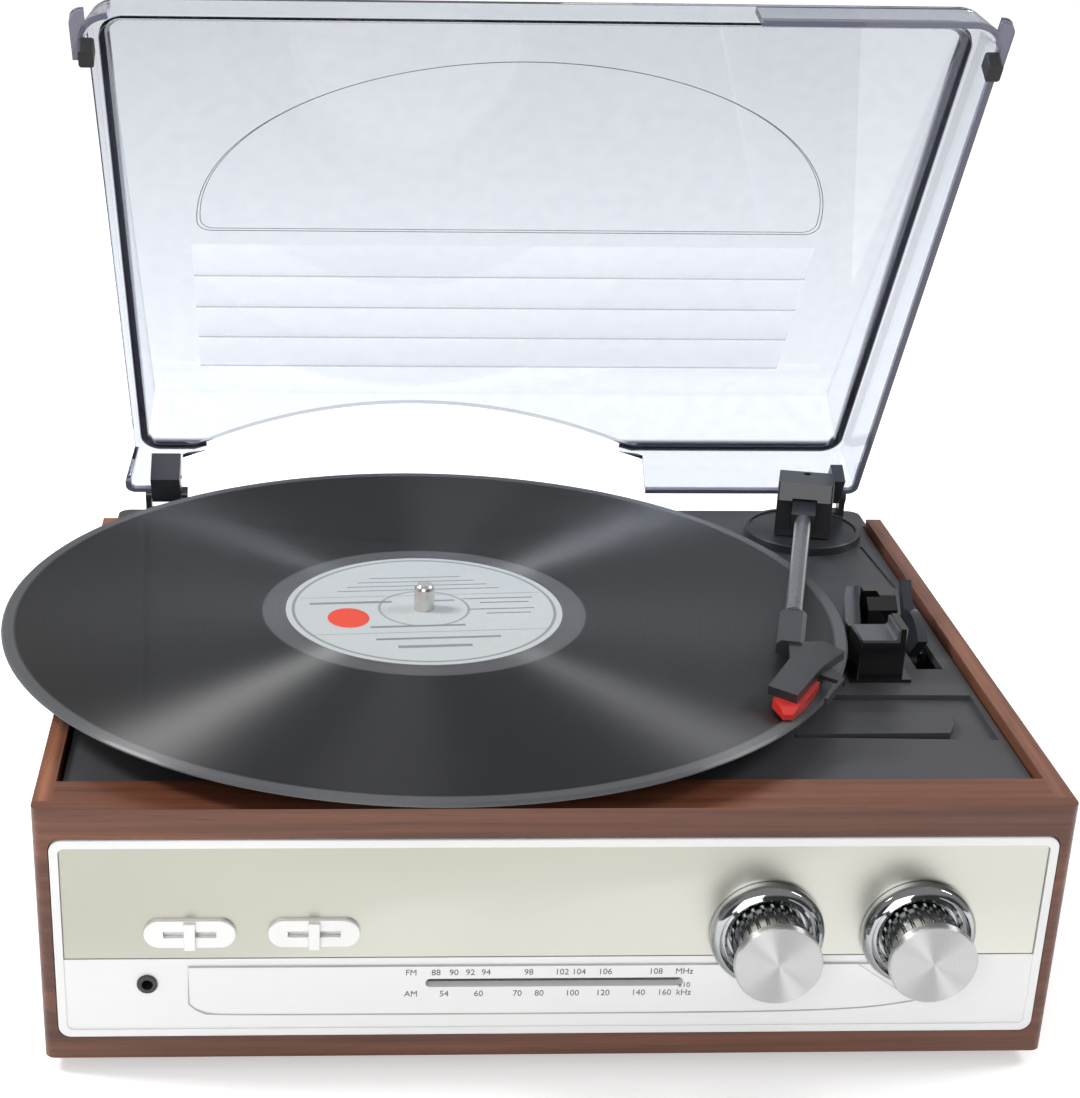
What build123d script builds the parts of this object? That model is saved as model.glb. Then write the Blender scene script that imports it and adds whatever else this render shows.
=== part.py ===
from build123d import *
import os
from math import cos, radians, sin

os.makedirs("parts", exist_ok=True)

# A record player with radio in a wooden case, its dust cover open. Millimetres.
# Origin: middle of the footprint on the floor. The front faces -Y and +Z is up.

# Case
case_width = 324.0
case_depth = 276.0
wood_depth = 256.7
wood_height = 90.0
board_thick = 6.0
base_thick = 8.0
rail_depth = 19.0
case_corner = 3.5
sill_height = 8.2
lintel_height = 10.5
stile_width = 5.0
foot_height = 5.0
foot_radius = 10.0
foot_inset = 28.0

# Clearances
seat_gap = 0.3
fit_gap = 0.05
press_gap = 0.02

# Back cover, its screws, sockets and cord gland
screw_radius = 1.4
screw_head = 2.6
screw_length = 12.0
back_screw_inset = 2.5
back_screw_heights = (16.0, 44.0, 72.0)
cover_inset = 0.5
bulge_inset = 12.0
bulge_drop = 0.5
vent_x = -60.0
vent_z = 46.0
vent_length = 34.0
vent_height = 2.6
vent_pitch_x = 42.0
vent_pitch_z = 7.0
line_out_x = 64.0
line_out_pitch = 16.0
line_out_z = 34.0
line_out_radius = 5.0
line_out_bore = 1.7
gland_x = 118.0
gland_z = 26.0
gland_radius = 6.0
cord_radius = 3.0

# Front panel and its plate
panel_thick = 3.0
panel_corner = 4.0
rim_width = 2.8
rim_proud = 0.6
plate_thick = 0.8
plate_recess = 1.0
plate_bottom = 41.8
window_proud = 0.5
window_left = -115.3
window_top = 39.0
window_low_left = 25.4
window_bottom = 21.0
window_tip_x = 117.5
window_tip_z = 24.9
window_top_right = 97.5
slot_length = 82.4
slot_height = 3.1
slot_x = 1.0
slot_z = 32.7
lens_thick = 1.0
lens_margin = 1.5

# Knobs and their rings
knob_z = 50.7
tuning_x = 67.4
volume_x = 115.6
ring_radius = 18.1
ring_height = 5.4
ring_seat = 0.05
ring_floor = 1.0
neck_radius = 7.2
neck_length = 6.0
knob_radius = 12.0
knob_reach = 20.5
knob_flutes = 24
flute_radius = 0.6
flute_end = 2.0
cap_radius = 13.75
cap_thick = 3.2
shaft_radius = 3.0
control_radius = 9.0
control_depth = 12.0

# Slide switches and headphone socket
switch_z = 51.35
function_x = -114.4
band_x = -75.5
switch_length = 29.0
switch_height = 9.9
switch_proud = 1.5
switch_body_depth = 8.0
slider_width = 3.6
slider_height = 9.6
slider_thick = 1.6
slider_travel = 6.5
stem_half = 1.2
stem_height = 1.6
stem_entry = 3.0
socket_x = -128.3
socket_z = 32.8
socket_radius = 3.3
socket_flange = 0.9
socket_barrel = 2.9
socket_bore = 1.8
socket_depth = 14.0
socket_body = 9.0

# Control board, tuning drive and pointer
board_back = 24.0
circuit_thick = 1.6
board_half = 146.0
board_low = 18.0
board_high = 80.0
post_radius = 3.5
post_inset = 19.0
post_low = 22.0
post_high = 76.0
capacitor_x = 20.0
capacitor_z = 62.0
capacitor_half = 12.0
capacitor_depth = 18.0
drum_radius = 14.0
drum_width = 7.0
pointer_home = -41.8
pointer_half = 4.0
needle_half = 0.5
guide_z = 26.0
guide_size = 3.0
guide_stand = 4.0
guide_wall = 1.0

# Main board, transformer and speakers
post_height = 8.0
main_left = -60.0
main_front = 20.0
main_length = 120.0
main_depth = 80.0
main_edge = 6.0
can_radius = 5.0
can_height = 15.0
can_start = 16.0
can_pitch = 14.0
can_count = 5
sink_length = 60.0
sink_thick = 3.0
sink_height = 26.0
transformer_x = 96.0
transformer_y = 60.0
core_width = 48.0
core_depth = 18.0
core_height = 40.0
core_limb = 8.0
core_middle = 14.0
coil_bulge = 7.0
speaker_x = 98.0
speaker_y = -62.0
speaker_radius = 38.0
speaker_depth = 30.0
speaker_rim = 3.0
speaker_flange = 5.0
cone_depth = 14.0
magnet_radius = 22.0
grille_hole = 2.2
grille_pitch = 9.0
grille_rings = 3

# Deck; points of the recess, bar and groove are measured from the right side
deck_drop = 3.25
deck_thick = 3.0
deck_gap = 1.3
deck_overhang_inset = 5.0
deck_wall = 2.5
skirt_height = 11.75
recess_corners = ((-65.4, -48.6), (-9.3, -49.2), (-9.6, -84.4), (-78.0, -82.1))
recess_depth = 1.8
bar_corners = ((-63.8, -63.5), (-21.4, -64.5), (-21.7, -73.5), (-24.9, -80.2), (-76.9, -80.9))
bar_proud = 0.6
groove_back = (-13.6, 95.3)
groove_front = (-10.7, 50.2)
groove_half = 0.6
groove_depth = 1.0

# Platter, record and drive
spindle_x = -35.6
spindle_y = -2.8
record_radius = 150.8
record_thick = 1.9
record_top = 105.06
record_sink = 0.2
record_bead = 4.0
label_radius = 50.0
mat_thick = 1.6
mat_radius = 99.0
platter_radius = 102.0
platter_wall = 2.5
platter_skirt = 7.0
hub_radius = 12.0
drive_radius = 64.0
drive_wall = 3.0
spindle_radius = 3.6
spindle_rise = 10.0
bearing_radius = 6.0
bearing_flange = 11.0
bearing_length = 26.0
motor_offset = 58.0
motor_radius = 17.0
motor_length = 26.0
motor_ear = 20.0
motor_drop = 2.0
motor_plate = 1.5
motor_hole = 7.0
motor_shaft_radius = 1.5
pulley_radius = 4.0
pulley_flange = 1.2
belt_width = 3.4
belt_thick = 0.8

# Tone arm: pivot place and direction from -Y towards -X; the rest is along and to the right of the arm
pivot_inset = 35.2
pivot_y = 108.3
arm_angle = 13.9
arm_base_radius = 23.8
arm_base_thick = 3.0
lip_width = 2.0
lip_proud = 0.6
arm_stem_radius = 8.0
arm_stem_length = 30.0
housing_half = 11.15
housing_front = 15.0
housing_recess = 4.0
housing_lean = 2.5
housing_back = 11.0
housing_top = 118.5
housing_flat = 3.0
housing_back_top = 109.5
hood_z = 111.6
housing_clear = 0.45
housing_floor = 2.8
block_half = 4.7
block_back = 8.5
block_bottom = 103.2
block_top = 111.8
block_front = 30.0
block_room = 0.8
tilt_back = 5.0
tilt_z = 107.0
pin_radius = 1.5
pin_inset = 0.55
pivot_radius = 4.0
lift_pin_gap = 0.15
tube_radius = 3.2
tube_gap = 0.15
tube_end = 134.5
tube_low = 108.3
tube_high = 110.6
spigot_radius = 1.9
spigot_length = 6.0
neck_end = 163.5
neck_half = 4.75
neck_bottom = 107.9
neck_top = 112.9
neck_bevel = 1.5
shell_corners = ((200.5, -5.7), (206.0, 3.9), (180.4, 11.4), (165.8, 18.3), (158.5, 10.8), (162.5, -0.6),
                 (176.0, 0.4))
shell_top = 112.0
shell_height = 3.0
shell_wall = 1.4
lift_bridge = ((183.3, 9.7), (188.5, 18.9), (181.4, 17.6), (176.2, 13.4))
lift_blade_back = (187.4, 18.2)
lift_blade_front = (205.2, 13.0)
lift_blade_half = 0.6
lift_blade_top = 111.6
holder_corners = ((203.7, -3.8), (212.5, 0.1), (211.8, 3.1), (203.1, 6.7), (186.7, 10.9), (183.5, 2.9))
holder_bottom = 105.7
tip_along = 210.9
tip_across = 0.8
stylus_gap = 0.1

# Arm rest and cue lever
rest_left_inset = 46.4
rest_right_inset = 29.7
rest_front = -36.1
rest_back = -21.5
rest_flange = 1.2
rest_flange_proud = 2.4
notch_inset = 38.8
notch_half = 6.6
notch_floor = 105.9
notch_lining = 1.0
rest_left_top = 106.9
rest_right_top = 111.1
lever_inset = 17.6
lever_half = 1.8
lever_y = -2.0
lever_z = 84.0
lever_reach = 30.0
lever_disc = 19.0
lever_eye = 5.0
lever_pin_radius = 2.0
lever_slot_half = 25.0
ear_gap = 0.4
ear_thick = 2.2
guard_top = 103.7
guard_left_inset = 32.0
guard_right_inset = 21.0
guard_front = 8.5
guard_back = 23.0
guard_hole = 5.0
leaf_outline = ((-42.2, -19.9), (-44.7, -16.8), (-43.8, -3.0), (-41.3, 9.2), (-37.3, 22.8), (-32.4, 23.0),
                (-36.0, 8.0), (-39.4, -8.0))

# Dust cover, in its own frame: u runs forward from the rear rim, v outward from the rim
lid_half = 153.0
lid_length = 243.3
lid_wall = 2.3
lid_roof = 2.0
lid_corner = 12.0
lid_rear_corner = 4.0
lid_open = 58.5
hinge_y = 131.1
hinge_z = 101.0
rim_rear_y = 127.3
rim_z = 99.0
ledge_rear = 21.0
ledge_front = 15.0
ledge_width = 5.9
ledge_side_width = 3.7
side_draft = 0.167
front_draft = 0.367
rear_draft = 0.119
dome_side_draft = 0.14
dome_front_draft = 1.0
dome_rear = 4.5
dome_rear_draft = 0.48
dome_start = 14.0
dome_corner = 8.0
roof_rear = 42.2
roof_fall = 0.1
notch_gap = 1.2
rear_cut_left = -130.0
rear_cut_right = 63.5
rear_cut_side = 17.0
rear_cut_peak = 36.0
side_cut_rear = 7.0
rib_left = -121.8
rib_right = 117.3
rib_front = 112.5
rib_pitch = 19.1
rib_count = 4
rib_rise = 1.6
left_hinge_x = -136.5
left_hinge_width = 12.0
right_hinge_x = 143.8
right_hinge_width = 5.0
hinge_eye = 3.2
hinge_pin = 1.5
hinge_cheek = 2.4
hinge_foot = 2.5
hinge_notch = 6.6
leaf_reach = 9.5
left_leaf_high = 13.0
right_leaf_high = 8.0
bumper_inner = 146.8
bumper_outer = 151.8
bumper_length = 6.5
left_bumper_u = 227.1
right_bumper_u = 225.1
lug_reach = 1.5
lug_inset = 3.5
lug_length = 19.0
lug_high = 3.0
lug_corner = 4.5

# Places worked out from the sizes above
front_y = -case_depth / 2
back_y = case_depth / 2
wood_back_y = front_y + wood_depth
case_bottom = foot_height
case_top = foot_height + wood_height
right_side = case_width / 2
inner_half = right_side - board_thick
cover_half = right_side - cover_inset
bulge_half = right_side - bulge_inset
deck_overhang_half = right_side - deck_overhang_inset
board_back_y = front_y + board_thick
floor_top = case_bottom + base_thick
panel_half = case_width / 2 - stile_width
panel_bottom = case_bottom + sill_height
panel_top = case_top - lintel_height
panel_height = panel_top - panel_bottom
panel_mid_z = (panel_top + panel_bottom) / 2
panel_back_y = front_y + panel_thick
plate_half = panel_half - rim_width
plate_top = panel_top - rim_width
board_y = front_y + board_back
deck_top = case_top - deck_drop
deck_under = deck_top - deck_thick
deck_low = deck_top - skirt_height
record_bottom = record_top - record_thick
mat_bottom = record_bottom - mat_thick
platter_under = mat_bottom - platter_wall
motor_x = spindle_x - motor_offset
motor_y = spindle_y + motor_offset
back_screw_x = inner_half + back_screw_inset
knob_places = [(tuning_x, knob_z), (volume_x, knob_z)]
switch_places = [(function_x, switch_z), (band_x, switch_z)]
post_places = [(side * (panel_half - post_inset), z) for side in (-1, 1) for z in (post_low, post_high)]
line_out_places = [(line_out_x, line_out_z), (line_out_x + line_out_pitch, line_out_z)]
pivot_x = right_side - pivot_inset
rest_left = right_side - rest_left_inset
rest_right = right_side - rest_right_inset
notch_x = right_side - notch_inset
lever_x = right_side - lever_inset
guard_left = right_side - guard_left_inset
guard_right = right_side - guard_right_inset
forward = (-sin(radians(arm_angle)), -cos(radians(arm_angle)), 0)
leftward = (-cos(radians(arm_angle)), sin(radians(arm_angle)), 0)
arm_plane = Plane(origin=(pivot_x, pivot_y, 0), x_dir=forward, z_dir=(0, 0, 1))
arm_side = Plane(origin=(pivot_x, pivot_y, 0), x_dir=forward, z_dir=leftward)
arm_bottom = deck_top + arm_base_thick + housing_clear
slot_floor = arm_bottom + housing_floor


def solid_mark(piece, name):
    """Label a finished piece and write it."""
    piece.part.label = name
    export_step(piece.part, f"parts/{name}.step")


def front_plane(y):
    """Plane facing the viewer at depth y: local x is X and local y is Z."""
    return Plane(origin=(0, y, 0), x_dir=(1, 0, 0), z_dir=(0, -1, 0))


def right_plane(height):
    """Level plane whose x is measured from the right side of the case."""
    return Plane(origin=(right_side, 0, height), x_dir=(1, 0, 0), z_dir=(0, 0, 1))


def box_between(low, high, mode=Mode.ADD):
    """Box from its lowest to its highest corner."""
    size = [high[i] - low[i] for i in range(3)]
    with Locations(tuple((high[i] + low[i]) / 2 for i in range(3))):
        Box(*size, mode=mode)


def rod(start, radius, length, direction, mode=Mode.ADD):
    """Round bar from a start point along a direction."""
    with Locations(Plane(origin=start, z_dir=direction)):
        Cylinder(radius, length, align=(Align.CENTER, Align.CENTER, Align.MIN), mode=mode)


def arm_box(near, far, half, low, high, mode=Mode.ADD):
    """Box centred on the arm: distances from the pivot, half width and heights."""
    with Locations(arm_plane.offset(low)):
        with Locations(((near + far) / 2, 0, 0)):
            Box(far - near, 2 * half, high - low, align=(Align.CENTER, Align.CENTER, Align.MIN), mode=mode)


def arm_point(distance, across, height):
    """Point in the arm's frame: distance from the pivot, offset to the right, height."""
    return tuple(arm_plane.from_local_coords((distance, across, height)))


# Front board with the panel opening and the rail behind its upper edge
with BuildPart() as front_board:
    box_between((-case_width / 2, front_y, case_bottom), (case_width / 2, board_back_y, case_top))
    box_between((-inner_half, board_back_y, panel_top + seat_gap), (inner_half, front_y + rail_depth, case_top))
    with BuildSketch(front_plane(front_y)):
        with Locations((0, panel_mid_z)):
            RectangleRounded(2 * (panel_half + seat_gap), panel_height + 2 * seat_gap, panel_corner)
    extrude(amount=-board_thick, mode=Mode.SUBTRACT)
    corners = front_board.edges().filter_by(Axis.Z).group_by(Axis.Y)[0].sort_by(Axis.X)
    fillet([corners[0], corners[-1]], case_corner)
solid_mark(front_board, "front_board")


def side_board(side):
    """Side board with blind holes for the back cover's screws; side is -1 at the left, 1 at the right."""
    inner = side * inner_half
    outer = side * case_width / 2
    with BuildPart() as board:
        box_between((min(inner, outer), board_back_y, case_bottom), (max(inner, outer), wood_back_y, case_top))
        for height in back_screw_heights:
            rod((side * back_screw_x, wood_back_y, height), screw_radius + press_gap, screw_length,
                (0, -1, 0), mode=Mode.SUBTRACT)
    return board


solid_mark(side_board(-1), "left_side_board")
solid_mark(side_board(1), "right_side_board")

# Bottom board with rings of holes below each speaker
with BuildPart() as bottom_board:
    box_between((-inner_half, board_back_y, case_bottom), (inner_half, wood_back_y, floor_top))
    with BuildSketch(Plane.XY.offset(case_bottom)):
        for side in (-1, 1):
            with Locations((side * speaker_x, speaker_y)):
                Circle(grille_hole)
                for ring in range(1, grille_rings + 1):
                    with PolarLocations(ring * grille_pitch, 6 * ring):
                        Circle(grille_hole)
    extrude(amount=base_thick, mode=Mode.SUBTRACT)
solid_mark(bottom_board, "bottom_board")

with BuildPart() as rubber_feet:
    foot_x = case_width / 2 - foot_inset
    with Locations(*[(x, y) for x in (-foot_x, foot_x) for y in (front_y + foot_inset, wood_back_y - foot_inset)]):
        Cone(foot_radius - 1, foot_radius, foot_height, align=(Align.CENTER, Align.CENTER, Align.MIN))
solid_mark(rubber_feet, "rubber_feet")

# Front panel: raised rim, recess for the plate, raised dial window, and holes for what passes through it
with BuildPart() as front_panel:
    with BuildSketch(front_plane(panel_back_y)):
        with Locations((0, panel_mid_z)):
            RectangleRounded(2 * panel_half, panel_height, panel_corner)
    extrude(amount=panel_thick + rim_proud)
    fillet(front_panel.faces().sort_by(Axis.Y)[0].edges(), rim_proud * 0.9)
    with BuildSketch(front_plane(front_y)):
        with Locations((0, panel_mid_z)):
            RectangleRounded(2 * plate_half, panel_height - 2 * rim_width, panel_corner / 2)
    extrude(amount=rim_proud, mode=Mode.SUBTRACT)
    with BuildSketch(front_plane(front_y)):
        with Locations((0, (plate_bottom + plate_top) / 2)):
            Rectangle(2 * plate_half, plate_top - plate_bottom)
    extrude(amount=-plate_recess, mode=Mode.SUBTRACT)
    with BuildSketch(front_plane(front_y)):
        with BuildLine():
            Polyline((window_tip_x, window_tip_z), (window_top_right, window_top), (window_left, window_top),
                     (window_left, window_low_left))
            Spline((window_left, window_low_left), (window_left + 11, window_bottom + 0.4),
                   (tuning_x, window_bottom), (window_tip_x, window_tip_z), tangents=((1.0, -1.0), (1.0, 0.35)))
        make_face()
        with Locations(*knob_places):
            Circle(ring_radius + seat_gap, mode=Mode.SUBTRACT)
    extrude(amount=window_proud)
    with BuildSketch(front_plane(front_y - rim_proud)):
        with Locations(*knob_places):
            Circle(neck_radius + seat_gap)
        with Locations(*switch_places):
            SlotOverall(2 * slider_travel + 2 * slider_width, switch_height / 2)
        with Locations((socket_x, socket_z)):
            Circle(socket_barrel + seat_gap)
        with Locations((slot_x, slot_z)):
            SlotOverall(slot_length, slot_height)
    extrude(amount=-panel_thick - rim_proud, mode=Mode.SUBTRACT)
    guide_half = -pointer_home + 2 * pointer_half
    box_between((-guide_half, panel_back_y, guide_z - guide_size / 2),
                (guide_half, panel_back_y + guide_stand, guide_z + guide_size / 2))
    for x, z in post_places:
        rod((x, panel_back_y, z), post_radius, board_y - panel_back_y, (0, 1, 0))
solid_mark(front_panel, "front_panel")

with BuildPart() as mirror_plate:
    with BuildSketch(front_plane(front_y + plate_recess)):
        with Locations((0, (plate_bottom + plate_top) / 2)):
            Rectangle(2 * (plate_half - seat_gap), plate_top - plate_bottom - 2 * seat_gap)
        with Locations(*knob_places):
            Circle(neck_radius + seat_gap, mode=Mode.SUBTRACT)
        with Locations(*switch_places):
            SlotOverall(2 * slider_travel + 2 * slider_width, switch_height / 2, mode=Mode.SUBTRACT)
    extrude(amount=plate_thick)
solid_mark(mirror_plate, "mirror_plate")

with BuildPart() as dial_lens:
    with BuildSketch(front_plane(panel_back_y + lens_thick)):
        with Locations((slot_x, slot_z)):
            Rectangle(slot_length + 2 * lens_margin, slot_height + 2 * lens_margin)
    extrude(amount=lens_thick)
solid_mark(dial_lens, "dial_lens")

# Pointer: a needle behind the slot on a carrier that slides along the panel's guide
with BuildPart() as dial_pointer:
    needle_y = panel_back_y + lens_thick + seat_gap
    guide_top = guide_z + guide_size / 2 + seat_gap
    guide_low = guide_z - guide_size / 2 - seat_gap
    guide_back_y = panel_back_y + guide_stand + seat_gap
    box_between((pointer_home - pointer_half, panel_back_y + seat_gap, guide_low - guide_wall),
                (pointer_home + pointer_half, guide_back_y + guide_wall, guide_top + guide_wall))
    box_between((pointer_home - pointer_half, panel_back_y, guide_low),
                (pointer_home + pointer_half, guide_back_y, guide_top), mode=Mode.SUBTRACT)
    box_between((pointer_home - needle_half, needle_y, guide_top),
                (pointer_home + needle_half, needle_y + guide_wall, slot_z + slot_height))
solid_mark(dial_pointer, "dial_pointer")

# Chrome ring round each knob, turned to a stepped profile, with a neck through the panel
with BuildPart() as knob_rings:
    rim_radius = ring_radius - 2.3
    well_radius = knob_radius + 2 * seat_gap
    bore_radius = shaft_radius + 1
    for x, z in knob_places:
        with BuildSketch(Plane(origin=(x, front_y - ring_seat, z), x_dir=(1, 0, 0), z_dir=(0, 0, 1))):
            with BuildLine():
                Line((ring_radius, 0), (ring_radius, -1.2))
                ThreePointArc((ring_radius, -1.2), (ring_radius - 0.6, -4.0), (rim_radius, -ring_height))
                Polyline((rim_radius, -ring_height), (rim_radius - 1.0, -ring_height + 1.4),
                         (rim_radius - 1.8, -ring_height + 1.0), (well_radius + 0.4, -ring_height + 1.6),
                         (well_radius, -ring_floor), (bore_radius, -ring_floor), (bore_radius, neck_length),
                         (neck_radius, neck_length), (neck_radius, 0), (ring_radius, 0))
            make_face()
        revolve(axis=Axis((x, 0, z), (0, 1, 0)))
solid_mark(knob_rings, "knob_rings")

knob_back_y = front_y - ring_seat - ring_floor - seat_gap
cap_back_y = front_y - knob_reach + cap_thick
control_y = board_y + circuit_thick


def knob_body(x):
    """Fluted knob body with a blind bore for the shaft."""
    with BuildPart() as knob:
        rod((x, knob_back_y, knob_z), knob_radius, knob_back_y - cap_back_y, (0, -1, 0))
        with BuildSketch(front_plane(cap_back_y)):
            with Locations((x, knob_z)):
                with PolarLocations(knob_radius, knob_flutes):
                    Circle(flute_radius)
        extrude(amount=cap_back_y - knob_back_y + flute_end, mode=Mode.SUBTRACT)
        rod((x, knob_back_y, knob_z), shaft_radius + press_gap, knob_back_y - cap_back_y - flute_end,
            (0, -1, 0), mode=Mode.SUBTRACT)
    return knob


def knob_cap(x):
    """Round aluminium cap on the front of a knob."""
    with BuildPart() as cap:
        rod((x, cap_back_y, knob_z), cap_radius, cap_thick, (0, -1, 0))
        chamfer(cap.faces().sort_by(Axis.Y)[0].edges(), 0.5)
        chamfer(cap.faces().sort_by(Axis.Y)[-1].edges(), 0.8)
    return cap


def knob_shaft(x):
    """Shaft from the blind end of the knob's bore back through the control behind the board."""
    shaft_front = cap_back_y + flute_end + seat_gap
    with BuildPart() as shaft:
        rod((x, shaft_front, knob_z), shaft_radius, control_y + control_depth - shaft_front, (0, 1, 0))
    return shaft


solid_mark(knob_body(tuning_x), "tuning_knob")
solid_mark(knob_body(volume_x), "volume_knob")
solid_mark(knob_cap(tuning_x), "tuning_knob_cap")
solid_mark(knob_cap(volume_x), "volume_knob_cap")
solid_mark(knob_shaft(tuning_x), "tuning_shaft")
solid_mark(knob_shaft(volume_x), "volume_shaft")

# Volume control behind the board
with BuildPart() as volume_control:
    rod((volume_x, control_y, knob_z), control_radius, control_depth, (0, 1, 0))
    rod((volume_x, control_y, knob_z), shaft_radius + fit_gap, control_depth, (0, 1, 0), mode=Mode.SUBTRACT)
solid_mark(volume_control, "volume_control")

# Control board behind the panel, with the tuning shaft's bushing and bores for the three shafts
with BuildPart() as control_board:
    box_between((-board_half, board_y, board_low), (board_half, control_y, board_high))
    rod((tuning_x, control_y, knob_z), control_radius, control_depth, (0, 1, 0))
    for x, z in knob_places + [(capacitor_x, capacitor_z)]:
        rod((x, board_y, z), shaft_radius + fit_gap, circuit_thick + control_depth, (0, 1, 0), mode=Mode.SUBTRACT)
solid_mark(control_board, "control_board")

with BuildPart() as tuning_capacitor:
    box_between((capacitor_x - capacitor_half, control_y, capacitor_z - capacitor_half),
                (capacitor_x + capacitor_half, control_y + capacitor_depth, capacitor_z + capacitor_half))
    rod((capacitor_x, control_y, capacitor_z), shaft_radius + fit_gap, capacitor_depth - deck_thick,
        (0, 1, 0), mode=Mode.SUBTRACT)
solid_mark(tuning_capacitor, "tuning_capacitor")

# Drum for the dial cord, with a raised flange, on the capacitor's shaft
with BuildPart() as dial_drum:
    drum_back_y = board_y - seat_gap
    rod((capacitor_x, drum_back_y, capacitor_z), drum_radius, drum_width, (0, -1, 0))
    for y in (drum_back_y, drum_back_y - drum_width + guide_wall):
        rod((capacitor_x, y, capacitor_z), drum_radius + guide_wall, guide_wall, (0, -1, 0))
    rod((capacitor_x, drum_back_y, capacitor_z), shaft_radius,
        seat_gap + circuit_thick + capacitor_depth - deck_thick - seat_gap, (0, 1, 0))
solid_mark(dial_drum, "dial_drum")

# Oval switch plates, sliding tabs and the switch bodies on the control board
plate_face_y = front_y + plate_recess - plate_thick
with BuildPart() as switch_plates:
    with BuildSketch(front_plane(plate_face_y)):
        with Locations(*switch_places):
            SlotOverall(switch_length, switch_height)
    extrude(amount=switch_proud)
    fillet(switch_plates.faces().group_by(Axis.Y)[0].edges(), 0.6)
    with BuildSketch(front_plane(plate_face_y)):
        with Locations(*switch_places):
            Rectangle(2 * slider_travel + slider_width, stem_height + 2 * seat_gap)
    extrude(amount=switch_proud, mode=Mode.SUBTRACT)
solid_mark(switch_plates, "switch_plates")


def slider(x):
    """Tab in front of an oval plate, on a stem that reaches into its switch."""
    tab_back_y = plate_face_y - switch_proud - seat_gap
    with BuildPart() as tab:
        box_between((x - slider_width / 2, tab_back_y - slider_thick, switch_z - slider_height / 2),
                    (x + slider_width / 2, tab_back_y, switch_z + slider_height / 2))
        fillet(tab.faces().sort_by(Axis.Y)[0].edges(), 0.4)
        box_between((x - stem_half, tab_back_y, switch_z - stem_height / 2),
                    (x + stem_half, board_y - switch_body_depth + stem_entry, switch_z + stem_height / 2))
    return tab


solid_mark(slider(function_x), "function_slider")
solid_mark(slider(band_x), "band_slider")

with BuildPart() as switch_bodies:
    slot_half = slider_travel + stem_half + seat_gap
    slot_rise = stem_height / 2 + seat_gap
    for x, z in switch_places:
        box_between((x - switch_length / 2, board_y - switch_body_depth, z - switch_height / 2),
                    (x + switch_length / 2, board_y, z + switch_height / 2))
        box_between((x - slot_half, board_y - switch_body_depth, z - slot_rise),
                    (x + slot_half, board_y - switch_body_depth + stem_entry + seat_gap, z + slot_rise),
                    mode=Mode.SUBTRACT)
solid_mark(switch_bodies, "switch_bodies")

# Headphone socket: a round front, a barrel through the panel and a body on the control board
with BuildPart() as headphone_socket:
    rod((socket_x, front_y, socket_z), socket_radius, socket_flange, (0, -1, 0))
    fillet(headphone_socket.faces().sort_by(Axis.Y)[0].edges(), 0.4)
    rod((socket_x, front_y, socket_z), socket_barrel, board_y - front_y, (0, 1, 0))
    box_between((socket_x - socket_body / 2, panel_back_y + seat_gap, socket_z - socket_body / 2),
                (socket_x + socket_body / 2, board_y, socket_z + socket_body / 2))
    rod((socket_x, front_y - socket_flange, socket_z), socket_bore, socket_depth, (0, 1, 0), mode=Mode.SUBTRACT)
solid_mark(headphone_socket, "headphone_socket")

# Main board on four posts, with capacitor cans and a heat sink
with BuildPart() as main_board:
    main_z = floor_top + post_height
    main_right = main_left + main_length
    main_back = main_front + main_depth
    box_between((main_left, main_front, main_z), (main_right, main_back, main_z + circuit_thick))
    for x in (main_left + main_edge, main_right - main_edge):
        for y in (main_front + main_edge, main_back - main_edge):
            rod((x, y, floor_top), post_radius, post_height, (0, 0, 1))
    for number in range(can_count):
        rod((main_left + can_start + number * can_pitch, main_front + can_start, main_z), can_radius, can_height,
            (0, 0, 1))
    box_between((main_right - main_edge - sink_length, main_back - 2 * main_edge, main_z),
                (main_right - main_edge, main_back - 2 * main_edge + sink_thick, main_z + sink_height))
solid_mark(main_board, "main_board")

with BuildPart() as transformer_core:
    with Locations((transformer_x, transformer_y, floor_top + core_height / 2)):
        Box(core_width, core_depth, core_height)
        Box(core_width - 2 * core_limb, core_depth, core_height - 2 * core_limb, mode=Mode.SUBTRACT)
        Box(core_middle, core_depth, core_height)

with BuildPart() as transformer_coil:
    with Locations((transformer_x, transformer_y, floor_top + core_height / 2)):
        Box(core_width - 2 * core_limb - 2 * seat_gap, core_depth + 2 * coil_bulge,
            core_height - 2 * core_limb - 2 * seat_gap)
        Box(core_middle + 2 * seat_gap, core_depth + 2 * seat_gap, core_height, mode=Mode.SUBTRACT)
    coil_edges = transformer_coil.edges().filter_by(Axis.Z)
    fillet(coil_edges.group_by(Axis.Y)[0] + coil_edges.group_by(Axis.Y)[-1], 3)

with BuildPart() as power_transformer:
    add(transformer_core.part)
    add(transformer_coil.part)
solid_mark(power_transformer, "power_transformer")


# Speakers facing down: rim on the bottom board, cone, basket and magnet as one closed form
with BuildPart() as speakers:
    throat_z = floor_top + cone_depth
    for side in (-1, 1):
        with BuildSketch(Plane(origin=(side * speaker_x, speaker_y, 0), x_dir=(1, 0, 0), z_dir=(0, -1, 0))):
            with BuildLine():
                Polyline((0, throat_z), (speaker_radius - speaker_flange, floor_top), (speaker_radius, floor_top),
                         (speaker_radius, floor_top + speaker_rim),
                         (speaker_radius - speaker_flange, floor_top + speaker_rim),
                         (magnet_radius, throat_z + speaker_rim), (magnet_radius, floor_top + speaker_depth),
                         (0, floor_top + speaker_depth), close=True)
            make_face()
        revolve(axis=Axis((side * speaker_x, speaker_y, 0), (0, 0, 1)))
solid_mark(speakers, "speakers")

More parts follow.
